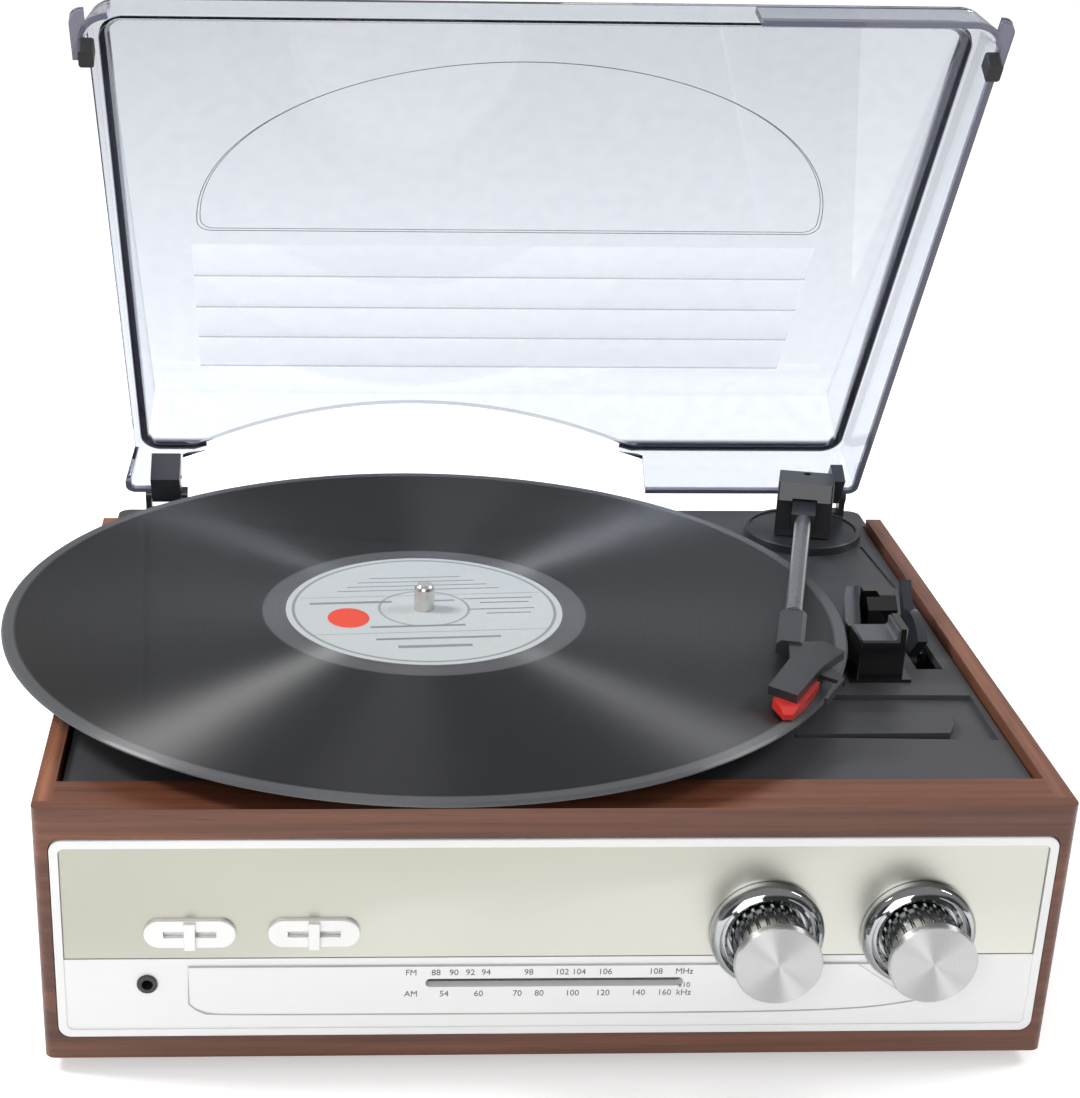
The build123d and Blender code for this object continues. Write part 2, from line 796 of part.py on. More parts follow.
# Top deck: flat tray between the boards, with a deeper box across the back
with BuildPart() as top_deck:
    deck_front = front_y + rail_depth + seat_gap
    deck_half = inner_half - deck_gap
    tray_back = wood_back_y + seat_gap
    box_between((-deck_half, deck_front, deck_under), (deck_half, tray_back, deck_top))
    for side in (-1, 1):
        edges = sorted((side * deck_half, side * (deck_half - deck_wall)))
        box_between((edges[0], deck_front, deck_low), (edges[1], tray_back, deck_under))
    box_between((-deck_overhang_half, tray_back, deck_low), (deck_overhang_half, back_y, deck_top))
    fillet(top_deck.edges().filter_by(Axis.Z).group_by(Axis.Y)[-1], 5)
    box_between((-deck_overhang_half + deck_wall, wood_back_y - deck_wall, deck_low),
                (deck_overhang_half - deck_wall, back_y - deck_wall, deck_under), mode=Mode.SUBTRACT)
    with BuildSketch(right_plane(deck_top)):
        with BuildLine():
            Polyline(*recess_corners, close=True)
        make_face()
    extrude(amount=-recess_depth, mode=Mode.SUBTRACT)
    with BuildSketch(right_plane(deck_top - recess_depth)):
        with BuildLine():
            Polyline(*bar_corners, close=True)
        make_face()
    extrude(amount=recess_depth + bar_proud)
    with BuildSketch(right_plane(deck_top)):
        with BuildLine():
            Line(groove_back, groove_front)
        trace(line_width=2 * groove_half)
    extrude(amount=-groove_depth, mode=Mode.SUBTRACT)
    rod((spindle_x, spindle_y, deck_top), bearing_radius + seat_gap, deck_thick, (0, 0, -1), mode=Mode.SUBTRACT)
    rod((motor_x, motor_y, deck_top), motor_hole, deck_thick, (0, 0, -1), mode=Mode.SUBTRACT)
    for side in (-1, 1):
        rod((motor_x + side * motor_ear, motor_y, deck_under), post_radius, motor_drop, (0, 0, -1))
    rod((pivot_x, pivot_y, deck_top), arm_stem_radius + seat_gap, deck_thick, (0, 0, -1), mode=Mode.SUBTRACT)
    slot_side = lever_half + ear_gap + ear_thick + seat_gap
    box_between((lever_x - slot_side, lever_y - lever_slot_half, deck_under),
                (lever_x + slot_side, lever_y + lever_slot_half, deck_top), mode=Mode.SUBTRACT)
    box_between((guard_left - seat_gap, guard_front - seat_gap, deck_under),
                (lever_x, guard_back + seat_gap, deck_top), mode=Mode.SUBTRACT)
solid_mark(top_deck, "top_deck")

# Back cover: flange on the rear ends of the side boards and a shallow box with vents
with BuildPart() as back_cover:
    cover_top = deck_low - seat_gap
    bulge_bottom = case_bottom + 2 * deck_wall
    bulge_back = back_y - bulge_drop
    box_between((-bulge_half, wood_back_y, bulge_bottom), (bulge_half, bulge_back, cover_top))
    fillet(back_cover.edges().filter_by(Axis.Z).group_by(Axis.Y)[-1], 4)
    box_between((-cover_half, wood_back_y, case_bottom + 1), (cover_half, wood_back_y + deck_wall, cover_top))
    box_between((-bulge_half + deck_wall, wood_back_y, bulge_bottom + deck_wall),
                (bulge_half - deck_wall, bulge_back - deck_wall, cover_top - deck_wall), mode=Mode.SUBTRACT)
    with BuildSketch(front_plane(back_y)):
        with Locations((vent_x, vent_z)):
            with GridLocations(vent_pitch_x, vent_pitch_z, 3, 5):
                SlotOverall(vent_length, vent_height)
        with Locations(*line_out_places):
            Circle(line_out_radius + press_gap)
        with Locations((gland_x, gland_z)):
            Circle(gland_radius + press_gap)
    extrude(amount=2 * deck_wall, mode=Mode.SUBTRACT)
    for side in (-1, 1):
        for height in back_screw_heights:
            rod((side * back_screw_x, wood_back_y, height), screw_radius + press_gap, deck_wall, (0, 1, 0),
                mode=Mode.SUBTRACT)
solid_mark(back_cover, "back_cover")

with BuildPart() as case_screws:
    for side in (-1, 1):
        for height in back_screw_heights:
            rod((side * back_screw_x, wood_back_y + deck_wall, height), screw_radius, screw_length, (0, -1, 0))
            rod((side * back_screw_x, wood_back_y + deck_wall, height), screw_head, screw_radius, (0, 1, 0))
solid_mark(case_screws, "case_screws")

# Two line output sockets and the mains cord gland in the back cover
with BuildPart() as line_out_sockets:
    for x, z in line_out_places:
        rod((x, bulge_back, z), line_out_radius + 1.5, 1.2, (0, 1, 0))
        rod((x, bulge_back + 1.2, z), line_out_radius, deck_wall + 9, (0, -1, 0))
        rod((x, bulge_back + 1.2, z), line_out_radius - 1.2, 7, (0, -1, 0), mode=Mode.SUBTRACT)
        rod((x, bulge_back + 1.2 - 8, z), line_out_bore + 0.8, 7, (0, 1, 0))
        rod((x, bulge_back + 1.2, z), line_out_bore, 7, (0, -1, 0), mode=Mode.SUBTRACT)
solid_mark(line_out_sockets, "line_out_sockets")

with BuildPart() as cord_gland:
    rod((gland_x, bulge_back, gland_z), gland_radius + 1.5, 1.5, (0, 1, 0))
    rod((gland_x, bulge_back + 1.5, gland_z), gland_radius, deck_wall + 6, (0, -1, 0))
    rod((gland_x, bulge_back + 1.5, gland_z), cord_radius, deck_wall + 6, (0, -1, 0), mode=Mode.SUBTRACT)
solid_mark(cord_gland, "cord_gland")

# Bearing for the platter, with a flange on the deck
with BuildPart() as spindle_bearing:
    rod((spindle_x, spindle_y, deck_top), bearing_flange, bearing_radius / 5, (0, 0, 1))
    rod((spindle_x, spindle_y, deck_top), bearing_radius, bearing_length, (0, 0, -1))
    rod((spindle_x, spindle_y, deck_top - bearing_length), spindle_radius + fit_gap,
        bearing_length + bearing_radius / 5, (0, 0, 1), mode=Mode.SUBTRACT)
solid_mark(spindle_bearing, "spindle_bearing")


def turned(points):
    """Solid turned about the spindle from (radius, height) points."""
    with BuildPart() as piece:
        with BuildSketch(Plane(origin=(spindle_x, spindle_y, 0), x_dir=(1, 0, 0), z_dir=(0, -1, 0))):
            with BuildLine():
                Polyline(*points, close=True)
            make_face()
        revolve(axis=Axis((spindle_x, spindle_y, 0), (0, 0, 1)))
    return piece


hub_bore = spindle_radius + press_gap
drive_low = deck_top + 2
hub_low = deck_top + bearing_radius / 5 + seat_gap
solid_mark(turned([
    (hub_bore, hub_low), (hub_radius, hub_low), (hub_radius, platter_under),
    (drive_radius - drive_wall, platter_under), (drive_radius - drive_wall, drive_low), (drive_radius, drive_low),
    (drive_radius, platter_under), (platter_radius - platter_wall, platter_under),
    (platter_radius - platter_wall, mat_bottom - platter_skirt), (platter_radius, mat_bottom - platter_skirt),
    (platter_radius, mat_bottom - 1), (platter_radius - 1, mat_bottom), (hub_bore, mat_bottom)]), "platter")
solid_mark(turned([
    (hub_bore, mat_bottom), (mat_radius, mat_bottom), (mat_radius, record_bottom),
    (hub_bore, record_bottom)]), "platter_mat")
groove_top = record_top - record_sink
solid_mark(turned([
    (hub_bore, record_bottom), (record_radius - 0.8, record_bottom), (record_radius, record_bottom + 0.7),
    (record_radius, record_top - 0.7), (record_radius - 0.8, record_top), (record_radius - record_bead, record_top),
    (record_radius - record_bead - 1.2, groove_top), (label_radius + 1.6, groove_top),
    (label_radius + 0.6, record_top), (hub_bore, record_top)]), "record")

with BuildPart() as spindle:
    spindle_low = deck_top - bearing_length
    rod((spindle_x, spindle_y, spindle_low), spindle_radius, record_top + spindle_rise - spindle_low, (0, 0, 1))
    fillet(spindle.faces().sort_by(Axis.Z)[-1].edges(), spindle_radius * 0.7)
solid_mark(spindle, "spindle")

# Motor under the deck, its pulley and the belt round the platter's inner ring
with BuildPart() as platter_motor:
    plate_z = deck_under - motor_drop
    box_between((motor_x - motor_ear - post_radius, motor_y - motor_radius / 2, plate_z - motor_plate),
                (motor_x + motor_ear + post_radius, motor_y + motor_radius / 2, plate_z))
    rod((motor_x, motor_y, plate_z - motor_plate), motor_radius, motor_length, (0, 0, -1))
    fillet(platter_motor.faces().sort_by(Axis.Z)[0].edges(), 2)
    rod((motor_x, motor_y, plate_z), motor_shaft_radius + fit_gap, motor_plate + motor_length / 2, (0, 0, -1),
        mode=Mode.SUBTRACT)
solid_mark(platter_motor, "platter_motor")

with BuildPart() as motor_pulley:
    pulley_low = drive_low
    pulley_high = platter_under - seat_gap
    rod((motor_x, motor_y, pulley_low), pulley_radius, pulley_high - pulley_low, (0, 0, 1))
    for z in (pulley_low, pulley_high - pulley_flange / 2):
        rod((motor_x, motor_y, z), pulley_radius + pulley_flange, pulley_flange / 2, (0, 0, 1))
    shaft_low = plate_z - motor_plate - motor_length / 2 + seat_gap
    rod((motor_x, motor_y, shaft_low), motor_shaft_radius, pulley_high - shaft_low, (0, 0, 1))
solid_mark(motor_pulley, "motor_pulley")


def belt_loop(extra):
    """Outline round the drive ring and the pulley, a distance outside both."""
    with BuildSketch(Plane.XY.offset((pulley_low + pulley_high - belt_width) / 2)) as loop:
        with Locations((spindle_x, spindle_y)):
            Circle(drive_radius + extra)
        with Locations((motor_x, motor_y)):
            Circle(pulley_radius + extra)
        make_hull()
    return loop


with BuildPart() as drive_belt:
    add(belt_loop(seat_gap + belt_thick).sketch)
    extrude(amount=belt_width)
    add(belt_loop(seat_gap).sketch)
    extrude(amount=belt_width, mode=Mode.SUBTRACT)
solid_mark(drive_belt, "drive_belt")

# Fixed base of the tone arm, bored for the pivot shaft
with BuildPart() as arm_base:
    rod((pivot_x, pivot_y, deck_top), arm_base_radius, arm_base_thick + lip_proud, (0, 0, 1))
    fillet(arm_base.faces().sort_by(Axis.Z)[-1].edges(), lip_proud)
    rod((pivot_x, pivot_y, deck_top + arm_base_thick), arm_base_radius - lip_width, lip_proud, (0, 0, 1),
        mode=Mode.SUBTRACT)
    rod((pivot_x, pivot_y, deck_top), arm_stem_radius, arm_stem_length, (0, 0, -1))
    rod((pivot_x, pivot_y, deck_top - arm_stem_length), pivot_radius + fit_gap,
        arm_stem_length + arm_base_thick, (0, 0, 1), mode=Mode.SUBTRACT)
solid_mark(arm_base, "arm_base")

# Housing that turns with the arm: leaning hood over a recessed front, and a slot for the arm block
with BuildPart() as arm_housing:
    with BuildSketch(arm_side):
        with BuildLine():
            Polyline((-housing_back, arm_bottom), (housing_front - housing_recess, arm_bottom),
                     (housing_front - housing_recess, hood_z - 0.6), (housing_front, hood_z),
                     (housing_front - housing_lean, housing_top), (-housing_flat, housing_top),
                     (-housing_back, housing_back_top), close=True)
        make_face()
    extrude(amount=housing_half, both=True)
    fillet(arm_housing.edges().filter_by(Plane.XY, reverse=True).filter_by(GeomType.LINE)
           .filter_by(lambda edge: edge.length < 1.5 * housing_half).sort_by(Axis.Z)[-2:], 1.0)
    arm_box(-housing_back + 2, housing_front + 1, block_half + seat_gap, slot_floor, block_top + block_room,
            mode=Mode.SUBTRACT)
    rod((pivot_x, pivot_y, arm_bottom), pivot_radius + press_gap, housing_floor, (0, 0, 1), mode=Mode.SUBTRACT)
    rod((pivot_x, pivot_y, housing_top), pin_radius, 2, (0, 0, -1), mode=Mode.SUBTRACT)
    rod(arm_point(-tilt_back, housing_half, tilt_z), pin_radius + press_gap, 2 * housing_half, leftward,
        mode=Mode.SUBTRACT)
solid_mark(arm_housing, "arm_housing")

with BuildPart() as arm_pivot_shaft:
    shaft_start = deck_top - arm_stem_length + 2
    rod((pivot_x, pivot_y, shaft_start), pivot_radius, slot_floor - shaft_start, (0, 0, 1))
    rod((pivot_x, pivot_y, shaft_start), pin_radius + 2 * fit_gap, slot_floor - shaft_start, (0, 0, 1),
        mode=Mode.SUBTRACT)
solid_mark(arm_pivot_shaft, "arm_pivot_shaft")

with BuildPart() as arm_tilt_pin:
    rod(arm_point(-tilt_back, housing_half - pin_inset, tilt_z), pin_radius, 2 * (housing_half - pin_inset), leftward)
solid_mark(arm_tilt_pin, "arm_tilt_pin")

with BuildPart() as lift_pin:
    lift_low = deck_top - arm_stem_length - 6
    rod((pivot_x, pivot_y, lift_low), pin_radius, block_bottom - lift_pin_gap - lift_low, (0, 0, 1))
solid_mark(lift_pin, "lift_pin")

# Arm block on the tilt pin, tube, and head shell
tube_slope = (tube_high - tube_low) / (tube_end - block_front)
tube_axis = (forward[0], forward[1], tube_slope)
with BuildPart() as arm_block:
    with BuildSketch(arm_side):
        with BuildLine():
            Polyline((-block_back, block_bottom), (block_front - 6, block_bottom), (block_front, block_bottom + 1.2),
                     (block_front, block_top - 0.6), (block_front - 1.2, block_top), (-block_back, block_top),
                     close=True)
        make_face()
    extrude(amount=block_half, both=True)
    chamfer(arm_block.faces().sort_by(Axis.Z)[-1].edges().filter_by(Plane.XY).sort_by(Axis.Y)[0], 0.4)
    rod(arm_point(-tilt_back, block_half, tilt_z), pin_radius + fit_gap, 2 * block_half, leftward,
        mode=Mode.SUBTRACT)
    rod(arm_point(block_front - spigot_length, 0, tube_low - spigot_length * tube_slope),
        spigot_radius + press_gap, 2 * spigot_length, tube_axis, mode=Mode.SUBTRACT)
solid_mark(arm_block, "arm_block")

with BuildPart() as arm_tube:
    tube_run = tube_end - block_front
    start = arm_point(block_front + tube_gap, 0, tube_low)
    rod(start, tube_radius, tube_run - 2 * tube_gap, tube_axis)
    rod(arm_point(block_front - spigot_length + seat_gap, 0, tube_low - spigot_length * tube_slope),
        spigot_radius, tube_run + 2 * spigot_length - 2 * seat_gap, tube_axis)
solid_mark(arm_tube, "arm_tube")

with BuildPart() as headshell:
    arm_box(tube_end, neck_end, neck_half, neck_bottom, neck_top)
    neck_edges = headshell.faces().sort_by(Axis.Z)[-1].edges().sort_by(Edge.length)[-2:]
    chamfer(neck_edges, neck_bevel)
    with BuildSketch(arm_plane.offset(shell_top - shell_height)):
        with BuildLine():
            Polyline(*shell_corners, close=True)
        make_face()
    extrude(amount=shell_height)
    with BuildSketch(arm_plane.offset(shell_top - shell_height)):
        with BuildLine():
            Polyline(*shell_corners[:4], shell_corners[6], close=True)
        make_face()
        offset(amount=-shell_wall)
    extrude(amount=shell_height - shell_wall, mode=Mode.SUBTRACT)
    rod(arm_point(tube_end - 1, 0, tube_high - tube_slope), spigot_radius + press_gap, spigot_length + 1,
        tube_axis, mode=Mode.SUBTRACT)
    with BuildSketch(arm_plane.offset(shell_top - shell_height)):
        with BuildLine():
            Polyline(*lift_bridge, close=True)
        make_face()
    extrude(amount=shell_wall)
    with BuildSketch(arm_plane.offset(shell_top - shell_height)):
        with BuildLine():
            Line(lift_blade_back, lift_blade_front)
        trace(line_width=2 * lift_blade_half)
    extrude(amount=lift_blade_top - shell_top + shell_height)
solid_mark(headshell, "headshell")

with BuildPart() as cartridge:
    with BuildSketch(arm_plane.offset(shell_top - shell_height)):
        with BuildLine():
            Polyline(*shell_corners[:4], shell_corners[6], close=True)
        make_face()
        offset(amount=-shell_wall - press_gap)
    extrude(amount=shell_height - shell_wall - press_gap)
solid_mark(cartridge, "cartridge")

with BuildPart() as stylus_holder:
    holder_top = shell_top - shell_height - press_gap
    with BuildSketch(arm_plane.offset(holder_bottom)):
        with BuildLine():
            Polyline(*holder_corners, close=True)
        make_face()
    extrude(amount=holder_top - holder_bottom)
    nose = stylus_holder.faces().sort_by(Axis.Z)[-1].edges().sort_by(Axis.Y)[0]
    chamfer(nose, length=1.4, length2=3.5)
    with Locations(arm_point(tip_along, tip_across, holder_bottom)):
        Cone(0.2, 0.7, holder_bottom - record_top - stylus_gap, align=(Align.CENTER, Align.CENTER, Align.MAX))
solid_mark(stylus_holder, "stylus_holder")

# Arm rest: post on a thin flange, with a notch for the arm and a low lip on the arm's side
with BuildPart() as arm_rest:
    box_between((rest_left - rest_flange_proud, rest_front - rest_flange_proud, deck_top),
                (rest_right + rest_flange_proud, rest_back + 1, deck_top + rest_flange))
    box_between((rest_left, rest_front, deck_top), (rest_right, rest_back, rest_right_top))
    fillet(arm_rest.edges().filter_by(Axis.Z).group_by(Axis.Y)[1], 0.8)
    box_between((rest_left - 1, rest_front - 1, rest_left_top), (notch_x, rest_back + 1, rest_right_top),
                mode=Mode.SUBTRACT)
    with BuildSketch(front_plane(rest_front)):
        with Locations((notch_x, notch_floor)):
            Rectangle(2 * notch_half, rest_right_top - notch_floor, align=(Align.CENTER, Align.MIN))
    extrude(amount=rest_front - rest_back, mode=Mode.SUBTRACT)
solid_mark(arm_rest, "arm_rest")

# Grey lining in the notch, a half round trough open to the arm's side
with BuildPart() as rest_lining:
    with BuildSketch(front_plane(rest_front)):
        with BuildLine():
            Polyline((notch_x - notch_half, rest_left_top), (notch_x - notch_half, notch_floor),
                     (notch_x + notch_half, notch_floor), (notch_x + notch_half, rest_right_top - 0.6),
                     (notch_x + notch_half - notch_lining, rest_right_top - 0.6),
                     (notch_x + notch_half - notch_lining, notch_floor + notch_lining + 1.2))
            ThreePointArc((notch_x + notch_half - notch_lining, notch_floor + notch_lining + 1.2),
                          (notch_x + notch_half - notch_lining - 0.4, notch_floor + notch_lining + 0.3),
                          (notch_x + notch_half - notch_lining - 1.2, notch_floor + notch_lining))
            Polyline((notch_x + notch_half - notch_lining - 1.2, notch_floor + notch_lining),
                     (notch_x - notch_half + notch_lining, notch_floor + notch_lining),
                     (notch_x - notch_half, rest_left_top))
        make_face()
    extrude(amount=rest_front - rest_back)
solid_mark(rest_lining, "rest_lining")

# Bracket of the cue lever: guard above the deck, two ears below it, and a curved leaf beside the arm
with BuildPart() as cue_bracket:
    ear_low = lever_z - lever_eye
    box_between((guard_left, guard_front, deck_low), (guard_right, guard_back, guard_top))
    chamfer(cue_bracket.faces().sort_by(Axis.Z)[-1].edges().sort_by(Axis.Y)[0], length=4.0, length2=5.0)
    box_between((guard_left - 1, guard_back - 2 * guard_hole, guard_top - guard_hole),
                (guard_left + guard_hole, guard_back - guard_hole, guard_top), mode=Mode.SUBTRACT)
    for side in (-1, 1):
        near = lever_x + side * (lever_half + ear_gap)
        edges = sorted((near, near + side * ear_thick))
        box_between((edges[0], lever_y - lever_eye, ear_low), (edges[1], guard_back, lever_z + lever_eye))
        rod((edges[0], lever_y, lever_z), lever_pin_radius + fit_gap, ear_thick, (1, 0, 0), mode=Mode.SUBTRACT)
    box_between((guard_right, lever_y + lever_disc + 1, ear_low),
                (lever_x + lever_half + ear_gap + ear_thick, guard_back, lever_z + lever_eye))
    with BuildSketch(right_plane(deck_top)):
        with BuildLine():
            Spline(*leaf_outline[:5])
            Line(leaf_outline[4], leaf_outline[5])
            Spline(*leaf_outline[5:], leaf_outline[0])
        make_face()
    extrude(amount=guard_top - deck_top)
    box_between((right_side + leaf_outline[4][0], guard_front, deck_top), (guard_left, guard_back, deck_top + deck_wall))
solid_mark(cue_bracket, "cue_bracket")

# Cue lever: a disc sector in the deck slot, trunnions in the ears, and a handle leaning back
with BuildPart() as cue_lever:
    lever_plane = Plane(origin=(lever_x - lever_half, lever_y, lever_z), x_dir=(0, 1, 0), z_dir=(1, 0, 0))
    with BuildSketch(lever_plane):
        Circle(lever_eye - 1)
        with BuildLine():
            Line((0, 0), (lever_disc * cos(radians(135)), lever_disc * sin(radians(135))))
            RadiusArc((lever_disc * cos(radians(135)), lever_disc * sin(radians(135))),
                      (lever_disc * cos(radians(60)), lever_disc * sin(radians(60))), lever_disc)
            Line((lever_disc * cos(radians(60)), lever_disc * sin(radians(60))), (0, 0))
        make_face()
        with BuildLine():
            Line((lever_disc * cos(radians(62)) * 0.6, lever_disc * sin(radians(62)) * 0.6),
                 (lever_reach * cos(radians(54)), lever_reach * sin(radians(54))))
        trace(line_width=4.4)
    extrude(amount=2 * lever_half)
    rod((lever_x - lever_half - ear_gap - ear_thick, lever_y, lever_z), lever_pin_radius,
        2 * (lever_half + ear_gap + ear_thick), (1, 0, 0))
solid_mark(cue_lever, "cue_lever")

# Frame of the dust cover where it stands open, and the line of its hinges
tilt = radians(lid_open)
rear_drop_y = rim_rear_y - hinge_y
rear_drop_z = rim_z - hinge_z
lid_plane = Plane(
    origin=(0, hinge_y + rear_drop_y * cos(tilt) + rear_drop_z * sin(tilt),
            hinge_z - rear_drop_y * sin(tilt) + rear_drop_z * cos(tilt)),
    x_dir=(1, 0, 0), z_dir=(0, sin(tilt), cos(tilt)))
lid_forward = -lid_plane.y_dir


def lid_side(x):
    """Plane across the cover at X = x: local x is u and local y is v; extruding goes towards -X."""
    return Plane(origin=lid_plane.origin + Vector(x, 0, 0), x_dir=lid_forward, z_dir=(-1, 0, 0))


def lid_face(u):
    """Plane square to the rim at u: local x is X and local y is v; extruding goes forward."""
    return Plane(origin=lid_plane.origin + lid_forward * u, x_dir=(1, 0, 0), z_dir=lid_forward)


def sloped_plane(height, fall):
    """Plane over the cover that starts at a height at the rear and falls forward."""
    return Plane(origin=lid_plane.origin + lid_plane.z_dir * height, x_dir=(1, 0, 0),
                 z_dir=lid_plane.z_dir - lid_plane.y_dir * fall)


def lid_form(wall, roof, low):
    """Volume of the cover: drafted skirt up to a ledge, and a wedge-shaped dome above it."""
    ledge_fall = (ledge_rear - ledge_front) / lid_length
    dome_half = lid_half - side_draft * dome_start - ledge_side_width
    dome_front = lid_length - front_draft * dome_start - ledge_width
    with BuildPart() as form:
        for height in (low, ledge_rear + 3):
            front = lid_length - front_draft * height - wall
            rear = rear_draft * height + wall
            with BuildSketch(lid_plane.offset(height)) as outline:
                with Locations((0, -(front + rear) / 2)):
                    Rectangle(2 * (lid_half - side_draft * height - wall), front - rear)
                fillet(outline.vertices().sort_by(Axis.Y)[:2], lid_corner - wall)
                fillet(outline.vertices().sort_by(Axis.Y)[-2:], lid_rear_corner - wall)
        loft()
        split(bisect_by=sloped_plane(ledge_rear - roof, ledge_fall), keep=Keep.BOTTOM)
        for height in (dome_start - 2 * roof, roof_rear + 2):
            above = height - dome_start
            front = dome_front - dome_front_draft * above - wall
            rear = dome_rear + dome_rear_draft * above + wall
            with BuildSketch(lid_plane.offset(height)) as outline:
                with Locations((0, -(front + rear) / 2)):
                    Rectangle(2 * (dome_half - dome_side_draft * above - wall), front - rear)
                fillet(outline.vertices().sort_by(Axis.Y)[:2], dome_corner - wall)
                fillet(outline.vertices().sort_by(Axis.Y)[-2:], lid_rear_corner - wall)
        loft()
        split(bisect_by=sloped_plane(roof_rear - roof, roof_fall), keep=Keep.BOTTOM)
    return form


def record_notch(across):
    """Half length of the gap that the record needs in a wall at a distance from the spindle."""
    return ((record_radius + notch_gap) ** 2 - across ** 2) ** 0.5


lid_outer = lid_form(0, 0, 0)
lid_inner = lid_form(lid_wall, lid_roof, -1)
hinge_spots = ((left_hinge_x, left_hinge_width), (right_hinge_x, right_hinge_width))
leaf_heights = (left_leaf_high, right_leaf_high)
record_rise = record_top - rim_z
front_notch = record_notch(spindle_y - (rim_rear_y - lid_length + lid_wall + front_draft * record_rise))
side_notch = record_notch(lid_half - lid_wall - side_draft * record_rise + spindle_x)
side_cut_front = rim_rear_y - (spindle_y - side_notch)
with BuildPart() as dust_cover:
    add(lid_outer.part)
    add(lid_inner.part, mode=Mode.SUBTRACT)
    with BuildSketch(lid_side(spindle_x + front_notch)):
        Polygon((lid_length - 10, -1), (lid_length + 1, -1), (lid_length + 1, ledge_front - lid_roof),
                (lid_length - 10, ledge_front - lid_roof), align=None)
    extrude(amount=2 * front_notch, mode=Mode.SUBTRACT)
    with BuildSketch(lid_side(-lid_half + 8)):
        Polygon((side_cut_rear, -1), (side_cut_front, -1), (side_cut_front, ledge_front - lid_roof),
                (side_cut_rear, ledge_rear - lid_roof - 0.4), align=None)
    extrude(amount=10, mode=Mode.SUBTRACT)
    with BuildSketch(lid_face(-1)):
        with BuildLine():
            Polyline((rear_cut_left, rear_cut_side), (rear_cut_left, -1), (rear_cut_right, -1),
                     (rear_cut_right, rear_cut_side))
            ThreePointArc((rear_cut_right, rear_cut_side),
                          ((rear_cut_left + rear_cut_right) / 2, rear_cut_peak), (rear_cut_left, rear_cut_side))
        make_face()
    extrude(amount=20, mode=Mode.SUBTRACT)
    for x, width in hinge_spots:
        with BuildSketch(lid_face(-1)):
            with Locations((x, hinge_notch - 0.1)):
                Rectangle(width + 2 * seat_gap, hinge_notch + 1, align=(Align.CENTER, Align.MAX))
        extrude(amount=5, mode=Mode.SUBTRACT)
    with BuildSketch(lid_side(rib_right)):
        for number in range(rib_count):
            high = rib_front - number * rib_pitch
            low = high - rib_pitch
            Polygon((low, roof_rear - roof_fall * low - 0.5), (low, roof_rear - roof_fall * low + rib_rise),
                    (high, roof_rear - roof_fall * high), (high, roof_rear - roof_fall * high - 0.5), align=None)
    extrude(amount=rib_right - rib_left)
    for side in (-1, 1):
        with BuildSketch(lid_plane) as lug:
            with Locations((side * (lid_half + (lug_reach - lug_inset) / 2), -lid_length + lug_length / 2)):
                Rectangle(lug_reach + lug_inset, lug_length)
            outer_corners = lug.vertices().group_by(Axis.X)[0 if side < 0 else -1]
            fillet(outer_corners.sort_by(Axis.Y)[0], lug_corner)
        extrude(amount=lug_high)
    add(lid_inner.part, mode=Mode.SUBTRACT)
solid_mark(dust_cover, "dust_cover")

# Hinges: eyes on the cover between cheeks on the deck, with a pin through both
wall_in = lid_wall + 0.1
with BuildPart() as hinge_leaves:
    hinge_u = rim_rear_y - hinge_y
    hinge_v = hinge_z - rim_z
    for (x, width), leaf_high in zip(hinge_spots, leaf_heights):
        with BuildSketch(lid_side(x + width / 2)):
            with Locations((hinge_u, hinge_v)):
                Circle(hinge_eye)
            Polygon((hinge_u, hinge_v - hinge_eye), (leaf_reach, hinge_v - hinge_eye), (leaf_reach, leaf_high),
                    (wall_in + rear_draft * leaf_high, leaf_high),
                    (wall_in + rear_draft * hinge_notch, hinge_notch), (wall_in, hinge_v + hinge_eye),
                    (hinge_u, hinge_v + hinge_eye), align=None)
            with Locations((hinge_u, hinge_v)):
                Circle(hinge_pin + fit_gap, mode=Mode.SUBTRACT)
        extrude(amount=width)
solid_mark(hinge_leaves, "hinge_leaves")

with BuildPart() as hinge_bases:
    leg_front = hinge_y - hinge_eye + 1.2
    leg_back = hinge_y + hinge_eye
    for x, width in hinge_spots:
        cheek = width / 2 + seat_gap
        box_between((x - cheek - hinge_cheek, leg_front, deck_top),
                    (x + cheek + hinge_cheek, leg_back + 1, deck_top + hinge_foot))
        for start in (x - cheek - hinge_cheek, x + cheek):
            rod((start, hinge_y, hinge_z), hinge_eye, hinge_cheek, (1, 0, 0))
            box_between((start, leg_front, deck_top), (start + hinge_cheek, leg_back, hinge_z))
        rod((x - cheek - hinge_cheek, hinge_y, hinge_z), hinge_pin + press_gap, 2 * (cheek + hinge_cheek),
            (1, 0, 0), mode=Mode.SUBTRACT)
solid_mark(hinge_bases, "hinge_bases")

with BuildPart() as hinge_pins:
    for x, width in hinge_spots:
        pin_half = width / 2 + seat_gap + hinge_cheek
        rod((x - pin_half, hinge_y, hinge_z), hinge_pin, 2 * pin_half, (1, 0, 0))
solid_mark(hinge_pins, "hinge_pins")

# Rubber bumpers under the front corners of the rim, which meet the deck when the cover is shut
with BuildPart() as lid_bumpers:
    bumper_drop = rim_z - deck_top - seat_gap
    bumper_mid = (bumper_inner + bumper_outer) / 2
    for side, u in ((-1, left_bumper_u), (1, right_bumper_u)):
        with BuildSketch(lid_plane):
            with Locations((side * bumper_mid, -u - bumper_length / 2)):
                RectangleRounded(bumper_outer - bumper_inner, bumper_length, 1)
        extrude(amount=-bumper_drop)
solid_mark(lid_bumpers, "lid_bumpers")
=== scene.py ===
from math import cos, pi, radians, sin

import bpy
from mathutils import Matrix, Vector


